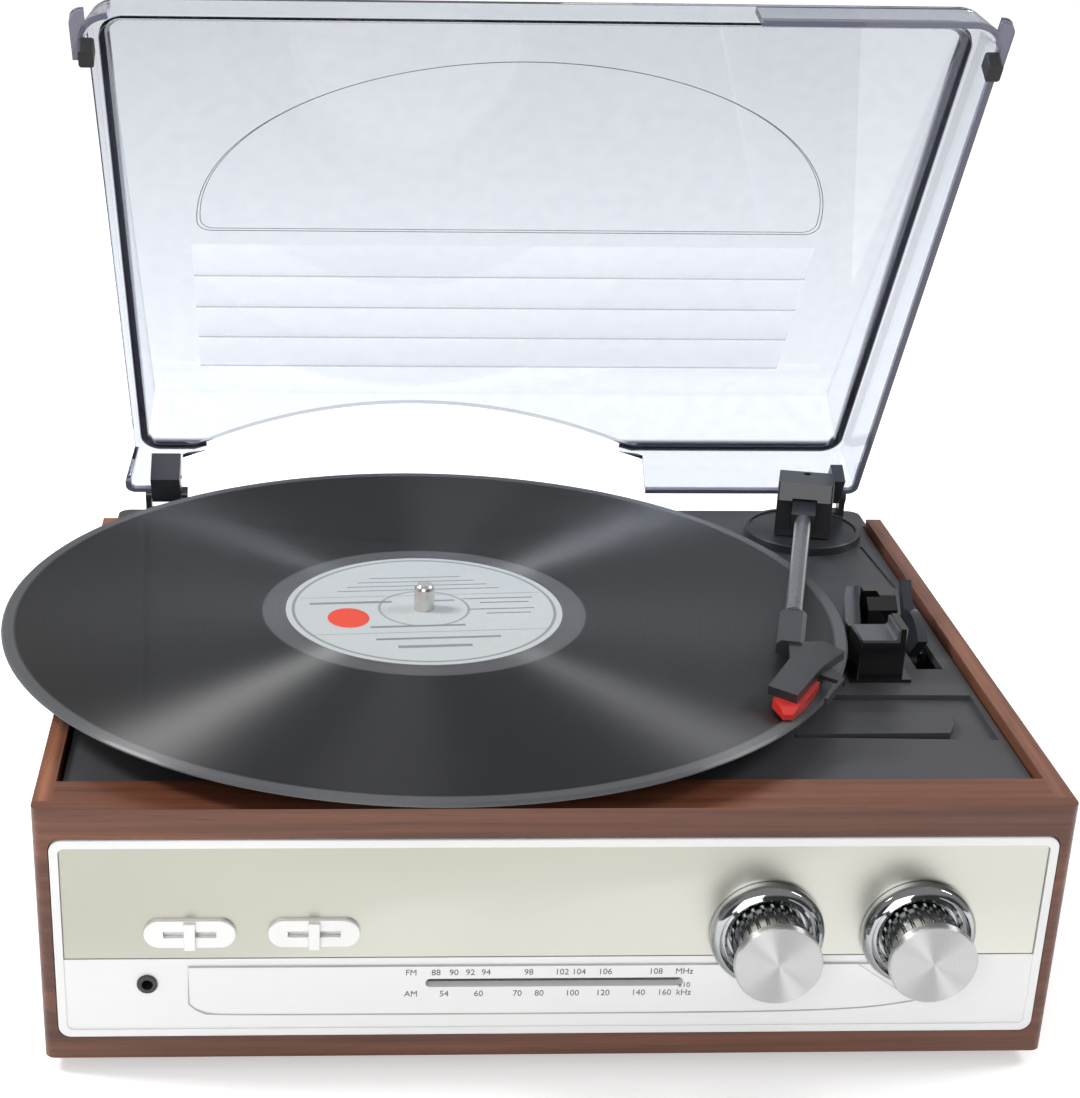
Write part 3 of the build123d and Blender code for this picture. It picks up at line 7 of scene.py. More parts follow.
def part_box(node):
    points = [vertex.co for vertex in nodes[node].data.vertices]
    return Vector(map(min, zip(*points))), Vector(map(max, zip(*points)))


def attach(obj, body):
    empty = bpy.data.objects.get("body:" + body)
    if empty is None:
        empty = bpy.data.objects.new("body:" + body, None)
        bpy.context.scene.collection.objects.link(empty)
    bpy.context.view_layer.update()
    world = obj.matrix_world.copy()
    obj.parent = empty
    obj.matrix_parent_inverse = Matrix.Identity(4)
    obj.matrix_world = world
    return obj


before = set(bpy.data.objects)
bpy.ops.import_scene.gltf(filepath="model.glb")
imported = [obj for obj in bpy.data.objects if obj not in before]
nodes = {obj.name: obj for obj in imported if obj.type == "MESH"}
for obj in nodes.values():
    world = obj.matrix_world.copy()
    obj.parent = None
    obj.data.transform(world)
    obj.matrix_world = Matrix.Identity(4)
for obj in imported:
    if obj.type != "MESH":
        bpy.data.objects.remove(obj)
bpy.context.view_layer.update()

MM = 0.001


# Materials: a principled shader with its detail from nodes in the row frame

def material(name, **values):
    """Principled material; values are socket names with _ for a space."""
    made = bpy.data.materials.new(name)
    made.use_nodes = True
    shader = made.node_tree.nodes["Principled BSDF"]
    for key, value in values.items():
        shader.inputs[key.replace("_", " ")].default_value = value
    return made


def add(made, kind, inputs=None, **settings):
    """Shader node with settings and inputs; an input may be a value or another node's output."""
    item = made.node_tree.nodes.new("ShaderNode" + kind)
    for key, value in settings.items():
        setattr(item, key, value)
    for key, value in (inputs or {}).items():
        if isinstance(value, bpy.types.NodeSocket):
            made.node_tree.links.new(value, item.inputs[key])
        else:
            item.inputs[key].default_value = value
    return item


def spot(made, scale=(1, 1, 1), shift=(0, 0, 0)):
    """Place on the object in metres, scaled and then shifted."""
    place = add(made, "TexCoord").outputs["Object"]
    return add(made, "Mapping", {"Vector": place, "Scale": scale, "Location": shift}).outputs[0]


def calc(made, operation, first, second=0.0, third=0.0):
    """Result of a sum on one to three values."""
    return add(made, "Math", {0: first, 1: second, 2: third}, operation=operation).outputs[0]


def noise(made, place, scale, detail, rough, warp=0.0):
    """Noise at a place, between 0 and 1."""
    return add(made, "TexNoise", {"Vector": place, "Scale": scale, "Detail": detail, "Roughness": rough,
                                  "Distortion": warp}).outputs["Fac"]


def ramp(made, value, *stops):
    """Colour ramp of (place, colour) stops."""
    item = add(made, "ValToRGB", {"Fac": value})
    elements = item.color_ramp.elements
    while len(elements) < len(stops):
        elements.new(0.5)
    for element, (place, color) in zip(elements, stops):
        element.position = place
        element.color = (*color, 1) if len(color) == 3 else (color[0],) * 3 + (1,)
    return item.outputs["Color"]


def mix(made, share, first, second, way="MIX"):
    """Blend of two colours."""
    item = add(made, "Mix", {0: share}, data_type="RGBA", blend_type=way)
    for index, value in ((6, first), (7, second)):
        if isinstance(value, bpy.types.NodeSocket):
            made.node_tree.links.new(value, item.inputs[index])
        else:
            item.inputs[index].default_value = (*value, 1)
    return item.outputs[2]


def dress(made, color=None, rough=None, bump=None, height=0.0001, strength=0.3, tangent=None):
    """Link detail to the shader of a material."""
    shader = made.node_tree.nodes["Principled BSDF"]
    for key, value in (("Base Color", color), ("Roughness", rough), ("Tangent", tangent)):
        if value is not None:
            made.node_tree.links.new(value, shader.inputs[key])
    if bump is not None:
        raised = add(made, "Bump", {"Height": bump, "Distance": height, "Strength": strength}).outputs[0]
        made.node_tree.links.new(raised, shader.inputs["Normal"])
    return made


def around(made, centre, axis):
    """Distance from an axis through a centre, and the direction across the circles turned about it."""
    place = add(made, "TexCoord").outputs["Object"]
    arm = add(made, "VectorMath", {0: place, 1: centre}, operation="SUBTRACT").outputs[0]
    circle = add(made, "VectorMath", {0: arm, 1: axis}, operation="CROSS_PRODUCT").outputs[0]
    radius = add(made, "VectorMath", {0: circle}, operation="LENGTH").outputs["Value"]
    face = add(made, "NewGeometry").outputs["Normal"]
    across = add(made, "VectorMath", {0: circle, 1: face}, operation="CROSS_PRODUCT").outputs[0]
    return radius, across


def wood(name, grain, offset=0.0, cast=(1.0, 1.0, 1.0)):
    """Brown veneer with its grain along an axis, and a multiplier over its colour that paints light (above 1) or
    shade (below 1) onto the board.
    """
    made = material(name, Coat_Weight=0.25, Coat_Roughness=0.22, IOR=1.45)
    streak_scale = tuple(7 if i == grain else 260 for i in range(3))
    broad_scale = tuple(2.2 if i == grain else 42 for i in range(3))
    pore_scale = tuple(70 if i == grain else 1500 for i in range(3))
    streaks = noise(made, spot(made, streak_scale, shift=(offset, offset, offset)), 1.0, 5, 0.62, 0.25)
    broad = noise(made, spot(made, broad_scale, shift=(offset, 0, offset)), 1.0, 3, 0.5, 0.6)
    pores = noise(made, spot(made, pore_scale), 1.0, 2, 0.5)
    tone = ramp(made, streaks, (0.25, (0.100, 0.033, 0.017)), (0.48, (0.180, 0.070, 0.040)),
                (0.62, (0.235, 0.095, 0.054)), (0.8, (0.33, 0.140, 0.078)))
    shade = ramp(made, broad, (0.25, (0.62, 0.60, 0.60)), (0.55, (0.95, 0.93, 0.92)), (0.8, (1.22, 1.18, 1.12)))
    color = mix(made, 1.0, tone, shade, "MULTIPLY")
    dark = ramp(made, pores, (0.30, (0.45,)), (0.40, (1.0,)))
    color = mix(made, 0.55, color, dark, "MULTIPLY")
    # painted light and shade: the board's colour is scaled by its own factor, lighter for painted light and
    # darker for painted shade
    color = mix(made, 1.0, color, cast, "MULTIPLY")
    rough = calc(made, "MULTIPLY_ADD", streaks, -0.18, 0.50)
    return dress(made, color, rough, bump=pores, height=0.00008, strength=0.25)


def plastic(name, color, rough, grain_scale=2600, height=0.00006, strength=0.25, vary=0.12, **values):
    """Moulded plastic with a fine grain and slight variation."""
    made = material(name, **values)
    grain = noise(made, spot(made), grain_scale, 3, 0.6)
    cloud = noise(made, spot(made), 22, 3, 0.5)
    low = tuple(c * (1 - vary) for c in color)
    high = tuple(min(1, c * (1 + vary)) for c in color)
    tint = ramp(made, cloud, (0.3, low), (0.7, high))
    sheen = calc(made, "MULTIPLY_ADD", grain, 0.16, rough - 0.08)
    return dress(made, tint, sheen, bump=grain, height=height, strength=strength)


def metal(name, color, rough):
    """Metal with faint mottling in its colour and roughness."""
    made = material(name, Metallic=1.0)
    mottle = noise(made, spot(made, (900, 900, 900)), 1.0, 3, 0.6)
    tint = ramp(made, mottle, (0.25, tuple(c * 0.9 for c in color)), (0.75, color))
    sheen = calc(made, "MULTIPLY_ADD", mottle, rough * 0.6, rough * 0.7)
    return dress(made, tint, sheen, bump=mottle, height=0.00002, strength=0.08)


def circles(made, radius, pitch, detail):
    """Noise that changes only with the distance from an axis."""
    return add(made, "TexNoise", {"W": calc(made, "MULTIPLY", radius, pitch), "Scale": 1.0, "Detail": detail},
               noise_dimensions="1D").outputs["Fac"]


def spun(name, centre):
    """Turned aluminium: fine circles and a sheen that runs out from the centre."""
    made = material(name, Metallic=1.0, Anisotropic=0.95)
    radius, across = around(made, centre, KNOB_AXIS)
    rings = circles(made, radius, 5200, 2.0)
    tint = ramp(made, rings, (0.3, (0.4644, 0.4644, 0.4644)), (0.7, (0.54, 0.54, 0.54)))
    sheen = calc(made, "MULTIPLY_ADD", rings, 0.12, 0.34)
    return dress(made, tint, sheen, bump=rings, height=0.00002, strength=0.12, tangent=across)


SPINDLE_X, SPINDLE_Y = -35.6, -2.8
SPINDLE = (SPINDLE_X * MM, SPINDLE_Y * MM, 0.105)
TUNING = (0.0674, -0.1585, 0.0507)
VOLUME = (0.1156, -0.1585, 0.0507)
KNOB_AXIS = (0, 1, 0)
ALONG_X, ALONG_Y = 0, 1

finish = {
    # the front board gets painted shade, darker and warmer; the left side board gets painted light, lighter
    "front_board": wood("wood_front_painted_shade", ALONG_X, cast=(0.78, 0.68, 0.60)),
    "left_side_board": wood("wood_left_painted_light", ALONG_Y, 3.0, (1.25, 1.15, 1.0)),
    "right_side_board": wood("wood_right", ALONG_Y, 9.0),
    "bottom_board": wood("wood_base", ALONG_X, 15.0),
    "rubber_feet": plastic("rubber_black", (0.02, 0.02, 0.02), 0.75),
    "top_deck": plastic("deck_black", (0.046, 0.047, 0.052), 0.42, 1900, 0.00008, 0.35, Specular_IOR_Level=0.7),
    "back_cover": plastic("cover_black", (0.022, 0.022, 0.022), 0.6, 1500, 0.00012, 0.5),
    "rest_lining": plastic("lining_grey", (0.085, 0.09, 0.10), 0.30),
    "headphone_socket": plastic("socket_black", (0.03, 0.03, 0.032), 0.3),
    "cord_gland": plastic("gland_black", (0.02, 0.02, 0.02), 0.7),
    "lid_bumpers": plastic("bumper_black", (0.012, 0.012, 0.012), 0.6),
    "platter_mat": plastic("mat_black", (0.018, 0.018, 0.018), 0.8),
    "drive_belt": plastic("belt_black", (0.015, 0.015, 0.015), 0.7),
    "speakers": plastic("speaker_black", (0.03, 0.03, 0.03), 0.6),
    "dial_drum": plastic("drum_grey", (0.45, 0.45, 0.44), 0.5),
    "dial_pointer": plastic("pointer_red", (0.6, 0.04, 0.02), 0.4),
    "stylus_holder": plastic("stylus_red", (0.50, 0.022, 0.016), 0.30, 1500, vary=0.2, Coat_Weight=0.4),
    "cartridge": plastic("cartridge_black", (0.015, 0.015, 0.016), 0.35),
    "knob_rings": metal("ring_chrome", (0.42, 0.43, 0.44), 0.07),
    "tuning_knob": metal("knob_chrome_left", (0.42, 0.43, 0.43), 0.20),
    "volume_knob": metal("knob_chrome_right", (0.42, 0.43, 0.43), 0.20),
    "tuning_knob_cap": spun("cap_spun_left", TUNING),
    "volume_knob_cap": spun("cap_spun_right", VOLUME),
    "spindle": metal("spindle_chrome", (0.74, 0.72, 0.67), 0.24),
    "platter": metal("platter_alloy", (0.50, 0.50, 0.51), 0.30),
    "spindle_bearing": metal("bearing_steel", (0.45, 0.45, 0.46), 0.3),
    "case_screws": metal("screw_steel", (0.35, 0.35, 0.36), 0.3),
    "hinge_pins": metal("hinge_steel", (0.50, 0.50, 0.51), 0.3),
    "line_out_sockets": metal("socket_steel", (0.72, 0.71, 0.68), 0.25),
    "platter_motor": metal("motor_steel", (0.50, 0.50, 0.51), 0.3),
    "motor_pulley": metal("pulley_brass", (0.72, 0.60, 0.35), 0.3),
    "tuning_capacitor": metal("capacitor_alloy", (0.6, 0.6, 0.6), 0.35),
    "volume_control": metal("control_steel", (0.5, 0.5, 0.5), 0.3),
    "switch_bodies": metal("switch_steel", (0.55, 0.55, 0.55), 0.3),
    "tuning_shaft": metal("shaft_steel_left", (0.6, 0.6, 0.6), 0.25),
    "volume_shaft": metal("shaft_steel_right", (0.6, 0.6, 0.6), 0.25),
    "arm_pivot_shaft": metal("pivot_steel", (0.6, 0.6, 0.6), 0.25),
    "arm_tilt_pin": metal("tilt_steel", (0.5, 0.5, 0.5), 0.25),
    "lift_pin": metal("lift_steel", (0.5, 0.5, 0.5), 0.25),
    "power_transformer": metal("transformer_iron", (0.25, 0.22, 0.2), 0.45),
    "main_board": plastic("board_green", (0.03, 0.16, 0.07), 0.4),
    "control_board": plastic("board_green_front", (0.03, 0.16, 0.07), 0.4),
}
arm_dark = plastic("arm_dark", (0.014, 0.015, 0.018), 0.34, 2200, 0.00004, 0.15, Specular_IOR_Level=0.6)
arm_black = plastic("arm_base_black", (0.028, 0.030, 0.036), 0.30, 2200, 0.00004, 0.15)
rest_black = plastic("rest_black", (0.008, 0.008, 0.009), 0.14, 900, 0.00003, 0.12, Coat_Weight=0.6,
                     Coat_Roughness=0.06)
switch_silver = plastic("switch_silver", (0.88, 0.88, 0.87), 0.22, 2600, 0.00001, 0.05, 0.04, Metallic=0.15,
                        Coat_Weight=0.4, Coat_Roughness=0.1)
for name in ("arm_housing", "arm_block", "headshell"):
    finish[name] = arm_dark
for name in ("arm_base", "hinge_bases", "hinge_leaves", "cue_lever"):
    finish[name] = arm_black
for name in ("arm_rest", "cue_bracket"):
    finish[name] = rest_black
for name in ("switch_plates", "function_slider", "band_slider"):
    finish[name] = switch_silver

tube = material("arm_tube_grey", Metallic=0.75, Coat_Weight=0.2)
tube_lines = noise(tube, spot(tube), 700, 3, 0.6)
finish["arm_tube"] = dress(tube, ramp(tube, tube_lines, (0.3, (0.15, 0.155, 0.165)), (0.7, (0.19, 0.195, 0.205))),
                           calc(tube, "MULTIPLY_ADD", tube_lines, 0.1, 0.24))

# Front panel: satin silver paint with faint clouds
panel = material("panel_silver", Coat_Weight=0.35, Coat_Roughness=0.12)
fine = noise(panel, spot(panel), 3000, 3, 0.6)
cloud = noise(panel, spot(panel, (5, 5, 25)), 1.0, 3, 0.5)
silver = ramp(panel, cloud, (0.3, (0.88, 0.88, 0.878)), (0.7, (0.94, 0.94, 0.937)))
finish["front_panel"] = dress(panel, silver, calc(panel, "MULTIPLY_ADD", fine, 0.12, 0.26), bump=fine,
                              height=0.00003, strength=0.1)

# Champagne plate: bright, with painted reflections as soft uneven patches, and painted light that lightens it to
# the right and below
plate = material("plate_champagne_painted_reflections", Metallic=1.0)
wave = noise(plate, spot(plate, (4.5, 4.5, 16), shift=(0.35, 0, 0.1)), 1.0, 2, 0.45, 0.8)
mist = noise(plate, spot(plate), 1400, 3, 0.6)
# painted light: the colour lightens along a slope towards the right and downwards
way = add(plate, "VectorMath", {0: spot(plate, shift=(0.15, 0, -0.065)), 1: (1.6, 0, -6.0)},
          operation="DOT_PRODUCT").outputs["Value"]
# painted reflections: broad wavy patches mixed into the colour
painted_reflection_patches = calc(plate, "MULTIPLY_ADD", wave, 0.9, calc(plate, "ADD", way, -0.25))
champagne_with_painted_reflections = ramp(plate, painted_reflection_patches, (0.12, (0.42, 0.415, 0.36)), (0.38, (0.465, 0.46, 0.405)),
                 (0.44, (0.51, 0.505, 0.45)), (0.62, (0.545, 0.54, 0.49)), (0.85, (0.59, 0.585, 0.53)))
finish["mirror_plate"] = dress(plate, champagne_with_painted_reflections, calc(plate, "MULTIPLY_ADD", mist, 0.08, 0.28), bump=wave,
                               height=0.0015, strength=0.05)

# Record: black vinyl whose fine circles give sheen that runs out from the centre
vinyl = material("record_vinyl", Anisotropic=1.0, Specular_IOR_Level=0.68, Coat_Weight=0.06, Coat_Roughness=0.03)
radius, across = around(vinyl, SPINDLE, (0, 0, 1))
bands = circles(vinyl, radius, 900, 3.0)
# painted highlight: lighter grey bands on the outer rim and on the run-out round the label
painted_sheen_bands = ramp(vinyl, calc(vinyl, "MULTIPLY", radius, 6.0), (0.0, (1.0,)), (0.348, (1.0,)), (0.352, (0.0,)),
            (0.876, (0.0,)), (0.880, (1.0,)))
base = ramp(vinyl, bands, (0.3, (0.003, 0.003, 0.004)), (0.7, (0.007, 0.007, 0.008)))
base = mix(vinyl, painted_sheen_bands, base, (0.075, 0.078, 0.084))
sheen = calc(vinyl, "MULTIPLY_ADD", bands, 0.10, 0.43)
finish["record"] = dress(vinyl, base, sheen, bump=bands, height=0.00004, strength=0.2, tangent=across)

# Dust cover: smoky blue acrylic; its rim and the step at the foot of the dome get painted shade, a dark tint that
# is made partly opaque
TILT = radians(58.5)
HINGE_Y, HINGE_Z = 131.1, 101.0
RIM_AHEAD, RIM_BELOW = 3.8, 2.0
RIM_Y = HINGE_Y - RIM_AHEAD * cos(TILT) - RIM_BELOW * sin(TILT)
RIM_Z = HINGE_Z + RIM_AHEAD * sin(TILT) - RIM_BELOW * cos(TILT)
FOOT_HALF, FOOT_MIDDLE, FOOT_REACH, FOOT_ROUND = 0.1386, 0.1176, 0.1039, 0.0068
lid = material("lid_acrylic", IOR=1.46)
from_rim = spot(lid, shift=(0, -RIM_Y * MM, -RIM_Z * MM))


def reach(direction):
    """Distance from the rear of the rim in a direction."""
    return add(lid, "VectorMath", {0: from_rim, 1: direction}, operation="DOT_PRODUCT").outputs["Value"]


along = reach((0, -cos(TILT), sin(TILT)))
level = reach((0, sin(TILT), cos(TILT)))
side = calc(lid, "ABSOLUTE", add(lid, "SeparateXYZ", {0: from_rim}).outputs["X"])
past_side = calc(lid, "SUBTRACT", side, FOOT_HALF)
past_end = calc(lid, "SUBTRACT", calc(lid, "ABSOLUTE", calc(lid, "SUBTRACT", along, FOOT_MIDDLE)), FOOT_REACH)
corner = add(lid, "CombineXYZ", {0: calc(lid, "MAXIMUM", past_side, 0.0), 1: calc(lid, "MAXIMUM", past_end, 0.0)})
corner = add(lid, "VectorMath", {0: corner.outputs[0]}, operation="LENGTH").outputs["Value"]
inside = calc(lid, "MINIMUM", calc(lid, "MAXIMUM", past_side, past_end), 0.0)
from_foot = calc(lid, "ABSOLUTE", calc(lid, "SUBTRACT", calc(lid, "ADD", corner, inside), FOOT_ROUND))
near_foot = ramp(lid, calc(lid, "MULTIPLY", from_foot, 100.0), (0.13, (1.0,)), (0.19, (0.0,)))
near_level = ramp(lid, calc(lid, "MULTIPLY", level, 20.0), (0.22, (0.0,)), (0.25, (1.0,)), (0.42, (1.0,)),
                  (0.45, (0.0,)))
foot_painted_shade = calc(lid, "MULTIPLY", near_foot, near_level)
# painted shade: the edge of the rim is tinted a dark violet grey
rim_painted_shade = ramp(lid, calc(lid, "MULTIPLY", level, 100.0), (0.12, (1.0,)), (0.18, (0.0,)))
dust = noise(lid, spot(lid), 160, 4, 0.6)
tint = ramp(lid, dust, (0.3, (0.70, 0.73, 0.78)), (0.7, (0.74, 0.77, 0.815)))
tint = mix(lid, rim_painted_shade, tint, (0.17, 0.17, 0.23))
# painted shade: a near-black line along the step at the foot of the dome
tint = mix(lid, foot_painted_shade, tint, (0.028, 0.028, 0.045))
dress(lid, tint, calc(lid, "MULTIPLY_ADD", dust, 0.02, 0.0))
lid_tree = lid.node_tree
acrylic = lid_tree.nodes["Principled BSDF"]
# the painted shade is made partly opaque by cutting the transmission there
painted_shade_opacity = calc(lid, "MULTIPLY", calc(lid, "MAXIMUM", rim_painted_shade, foot_painted_shade), 0.8)
lid_tree.links.new(calc(lid, "SUBTRACT", 1.0, painted_shade_opacity), acrylic.inputs["Transmission Weight"])
depth = add(lid, "VolumeAbsorption", {"Color": (0.26, 0.28, 0.38, 1), "Density": 60.0})
out = lid_tree.nodes["Material Output"]
lid_tree.links.new(depth.outputs[0], out.inputs["Volume"])
clear = add(lid, "BsdfTransparent", {"Color": (0.78, 0.81, 0.86, 1)})
rays = add(lid, "LightPath")
both = add(lid, "MixShader", {0: rays.outputs["Is Shadow Ray"], 1: acrylic.outputs[0], 2: clear.outputs[0]})
lid_tree.links.new(both.outputs[0], out.inputs["Surface"])
finish["dust_cover"] = lid

lens = material("dial_lens_clear", Transmission_Weight=0.6, IOR=1.45)
haze = noise(lens, spot(lens), 900, 2, 0.5)
finish["dial_lens"] = dress(lens, ramp(lens, haze, (0.3, (0.22, 0.22, 0.22)), (0.7, (0.28, 0.28, 0.28))),
                            calc(lens, "MULTIPLY_ADD", haze, 0.1, 0.1))

for name, obj in nodes.items():
    for place in obj.material_slots:
        place.material = finish[name]


# Pieces that the solids don't carry

def piece(name, points, faces, made, body):
    """Mesh piece from points in millimetres."""
    mesh = bpy.data.meshes.new(name)
    mesh.from_pydata([Vector(p) * MM for p in points], [], faces)
    mesh.update()
    obj = bpy.data.objects.new(name, mesh)
    bpy.context.scene.collection.objects.link(obj)
    mesh.materials.append(made)
    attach(obj, body)


def line(name, path, width, rise, to_world, made, body):
    """Raised line of a flat-topped section along a closed 2-D path; to_world takes (a, b, height)."""
    count = len(path)
    points = []
    for i, (a, b) in enumerate(path):
        before, after = path[i - 1], path[(i + 1) % count]
        run = Vector((after[0] - before[0], after[1] - before[1])).normalized()
        side = Vector((-run.y, run.x)) * width / 2
        for share, height in ((-1, 0.0), (-0.7, rise), (0.7, rise), (1, 0.0)):
            points.append(to_world(a + side.x * share, b + side.y * share, height))
    faces = []
    for i in range(count):
        j = (i + 1) % count
        for k in range(4):
            m = (k + 1) % 4
            faces.append((4 * i + k, 4 * i + m, 4 * j + m, 4 * j + k))
    piece(name, points, faces, made, body)


# Paper label: pale silver grey with a plain orange mark and blank grey bars
label = material("label_paper", Specular_IOR_Level=0.35)
label_radius = around(label, SPINDLE, (0, 0, 1))[0]
fiber = noise(label, spot(label), 1800, 4, 0.6)
paper = ramp(label, fiber, (0.3, (0.40, 0.425, 0.43)), (0.7, (0.475, 0.50, 0.505)))
ring = ramp(label, calc(label, "MULTIPLY", label_radius, 20.0), (0.0, (1.0,)), (0.31, (1.0,)), (0.318, (0.62,)),
            (0.33, (0.62,)), (0.338, (1.0,)), (0.93, (1.0,)), (0.938, (0.5,)), (0.952, (0.5,)), (0.96, (1.0,)))
paper = mix(label, 1.0, paper, ring, "MULTIPLY")
dress(label, paper, calc(label, "MULTIPLY_ADD", fiber, 0.2, 0.42), bump=fiber, height=0.00004, strength=0.2)

LABEL_TOP = 105.06
LABEL_RADIUS = 50.0
LABEL_HOLE = 3.66
LABEL_STEPS = 96
points, faces = [], []
for i in range(LABEL_STEPS):
    a = 2 * pi * i / LABEL_STEPS
    for r, z in ((LABEL_RADIUS, -0.02), (LABEL_RADIUS - 0.05, 0.06), (LABEL_HOLE, 0.06)):
        points.append((SPINDLE_X + r * cos(a), SPINDLE_Y + r * sin(a), LABEL_TOP + z))
for i in range(LABEL_STEPS):
    j = (i + 1) % LABEL_STEPS
    faces.append((3 * i, 3 * j, 3 * j + 1, 3 * i + 1))
    faces.append((3 * i + 1, 3 * j + 1, 3 * j + 2, 3 * i + 2))
piece("record_label", points, faces, label, "turntable_platter")
orange = plastic("label_orange", (0.66, 0.050, 0.020), 0.5, 1800)
ink = plastic("label_ink", (0.20, 0.22, 0.23), 0.5, 1800)
ANGLE = radians(4)
PRINT_LEVEL = LABEL_TOP + 0.09


def on_label(a, b):
    """Point of the printing from the label's own flat coordinates."""
    return (SPINDLE_X + a * cos(ANGLE) - b * sin(ANGLE), SPINDLE_Y + a * sin(ANGLE) + b * cos(ANGLE), PRINT_LEVEL)


MARK_STEPS = 40
turns = [2 * pi * i / MARK_STEPS for i in range(MARK_STEPS)]
points = [on_label(-28 + 7.5 * cos(turn), -7 + 9.0 * sin(turn)) for turn in turns]
piece("label_mark", points, [tuple(range(MARK_STEPS))], orange, "turntable_platter")
bars = ((28, 8, 26, 0.45), (30, 4, 18, 0.45), (28, -2, 24, 0.45), (30, -6, 16, 0.45), (6, 7, 12, 0.7),
        (-4, -16, 34, 0.8), (2, -27, 44, 0.8), (0, -34, 26, 1.1), (0, 18, 60, 0.35), (0, 22, 52, 0.35),
        (0, 26, 44, 0.35), (0, 30, 34, 0.35), (0, 12.5, 88, 0.15), (0, -21.5, 84, 0.15), (-26, 7, 30, 0.9))
points, faces = [], []
for a, b, width, half in bars:
    start = len(points)
    for da, db in ((-width / 2, -half), (width / 2, -half), (width / 2, half), (-width / 2, half)):
        points.append(on_label(a + da, b + db))
    faces.append(tuple(range(start, start + 4)))
piece("label_bars", points, faces, ink, "turntable_platter")

# Front: outline of the window, a dark line of painted shadow in the gap round the plate, the backs of the switch
# slots and the dial numbers
PANEL_FACE = -138.5
WINDOW_LEFT, WINDOW_TOP, WINDOW_SIDE_LOW = -115.3, 39.0, 25.4
grey_line = plastic("dial_line", (0.42, 0.42, 0.41), 0.45, 1500)
dial_ink = plastic("dial_ink", (0.10, 0.10, 0.10), 0.5, 1500)


def on_panel(x, z, height):
    """Point that stands off the face of the window."""
    return (x, PANEL_FACE - height, z)


def curve_through(points, steps=10):
    """Points of a smooth curve through the given ones."""
    ends = [points[0]] + list(points) + [points[-1]]
    found = []
    for i in range(1, len(ends) - 2):
        p0, p1, p2, p3 = (Vector(ends[k]) for k in (i - 1, i, i + 1, i + 2))
        for step in range(steps):
            t = step / steps
            found.append(0.5 * (2 * p1 + (p2 - p0) * t + (2 * p0 - 5 * p1 + 4 * p2 - p3) * t * t
                                + (3 * p1 - p0 - 3 * p2 + p3) * t ** 3))
    return [tuple(p) for p in found] + [tuple(points[-1])]


top_edge = [(111.5, WINDOW_TOP), (WINDOW_LEFT, WINDOW_TOP), (WINDOW_LEFT, WINDOW_SIDE_LOW)]
low_edge = curve_through([(WINDOW_LEFT, WINDOW_SIDE_LOW), (-111.5, 22.4), (-104.0, 21.4), (-60.0, 21.1),
                          (0.0, 21.0), (67.4, 21.2), (100.0, 22.4), (117.5, 24.9)])
line("window_line", top_edge + low_edge[1:] + [(117.0, 30.0), (115.0, 36.0)], 0.55, 0.12, on_panel, grey_line,
     "case")

shutter = plastic("shutter_silver", (0.80, 0.80, 0.79), 0.35, 1500)
SWITCH_Z = 51.35
SHUTTER_HALF, SHUTTER_RISE = 9.5, 2
SHUTTER_BACK, SHUTTER_FACE = -136.9, -137.4
for name, x in (("function_shutter", -114.4), ("band_shutter", -75.5)):
    points = [(x + a * SHUTTER_HALF, y, SWITCH_Z + b * SHUTTER_RISE) for y in (SHUTTER_BACK, SHUTTER_FACE)
              for a, b in ((-1, -1), (1, -1), (1, 1), (-1, 1))]
    faces = [(0, 3, 2, 1), (4, 5, 6, 7), (0, 1, 5, 4), (1, 2, 6, 5), (2, 3, 7, 6), (3, 0, 4, 7)]
    piece(name, points, faces, shutter, "case")

# painted shadow: a dark line sunk in the gap round the mirror plate, standing in for the shade at the plate's
# edge
painted_gap_shadow = plastic("plate_gap_shadow", (0.10, 0.10, 0.095), 0.4, 1500)
EDGE_GAP = 0.15
EDGE_DEPTH = 0.9
plate_low, plate_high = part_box("mirror_plate")
left_x, right_x = plate_low[0] / MM - EDGE_GAP, plate_high[0] / MM + EDGE_GAP
low_z, high_z = plate_low[2] / MM - EDGE_GAP, plate_high[2] / MM + EDGE_GAP
line("plate_edge_line", [(left_x, low_z), (right_x, low_z), (right_x, high_z), (left_x, high_z)], 0.45, 0.1,
     lambda x, z, height: on_panel(x, z, height - EDGE_DEPTH), painted_gap_shadow, "case")

marks = []


def words(text, x, z, size):
    """Small dial characters on the face of the window."""
    curve = bpy.data.curves.new("mark", "FONT")
    curve.body = text
    curve.size = size
    curve.align_x = "CENTER"
    curve.align_y = "CENTER"
    curve.extrude = 0.00004
    curve.resolution_u = 4
    obj = bpy.data.objects.new("mark", curve)
    bpy.context.scene.collection.objects.link(obj)
    place = (x * MM, (PANEL_FACE - 0.03) * MM, z * MM)
    obj.matrix_world = Matrix.Translation(place) @ Matrix.Rotation(pi / 2, 4, "X")
    marks.append(obj)


FM_ROW = (("FM", -44.8), ("88", -36.9), ("90", -31.2), ("92", -26.0), ("94", -21.0), ("98", -7.4), ("102", 3.2),
          ("104", 8.6), ("106", 17.0), ("108", 33.2), ("MHz", 42.3))
AM_ROW = (("AM", -44.8), ("54", -34.2), ("60", -23.2), ("70", -10.8), ("80", -3.8), ("100", 6.8), ("120", 16.6),
          ("140", 28.0), ("160", 36.4), ("kHz", 42.6))
for row, z in ((FM_ROW, 36.5), (AM_ROW, 28.6)):
    for text, x in row:
        words(text, x, z, 0.0030)
words("x10", 42.6, 31.4, 0.0026)
bpy.context.view_layer.update()
graph = bpy.context.evaluated_depsgraph_get()
points, faces = [], []
for obj in marks:
    shape = bpy.data.meshes.new_from_object(obj.evaluated_get(graph))
    start = len(points)
    points += [obj.matrix_world @ v.co / MM for v in shape.vertices]
    faces += [tuple(start + i for i in p.vertices) for p in shape.polygons]
    bpy.data.meshes.remove(shape)
for obj in marks:
    bpy.data.objects.remove(obj)
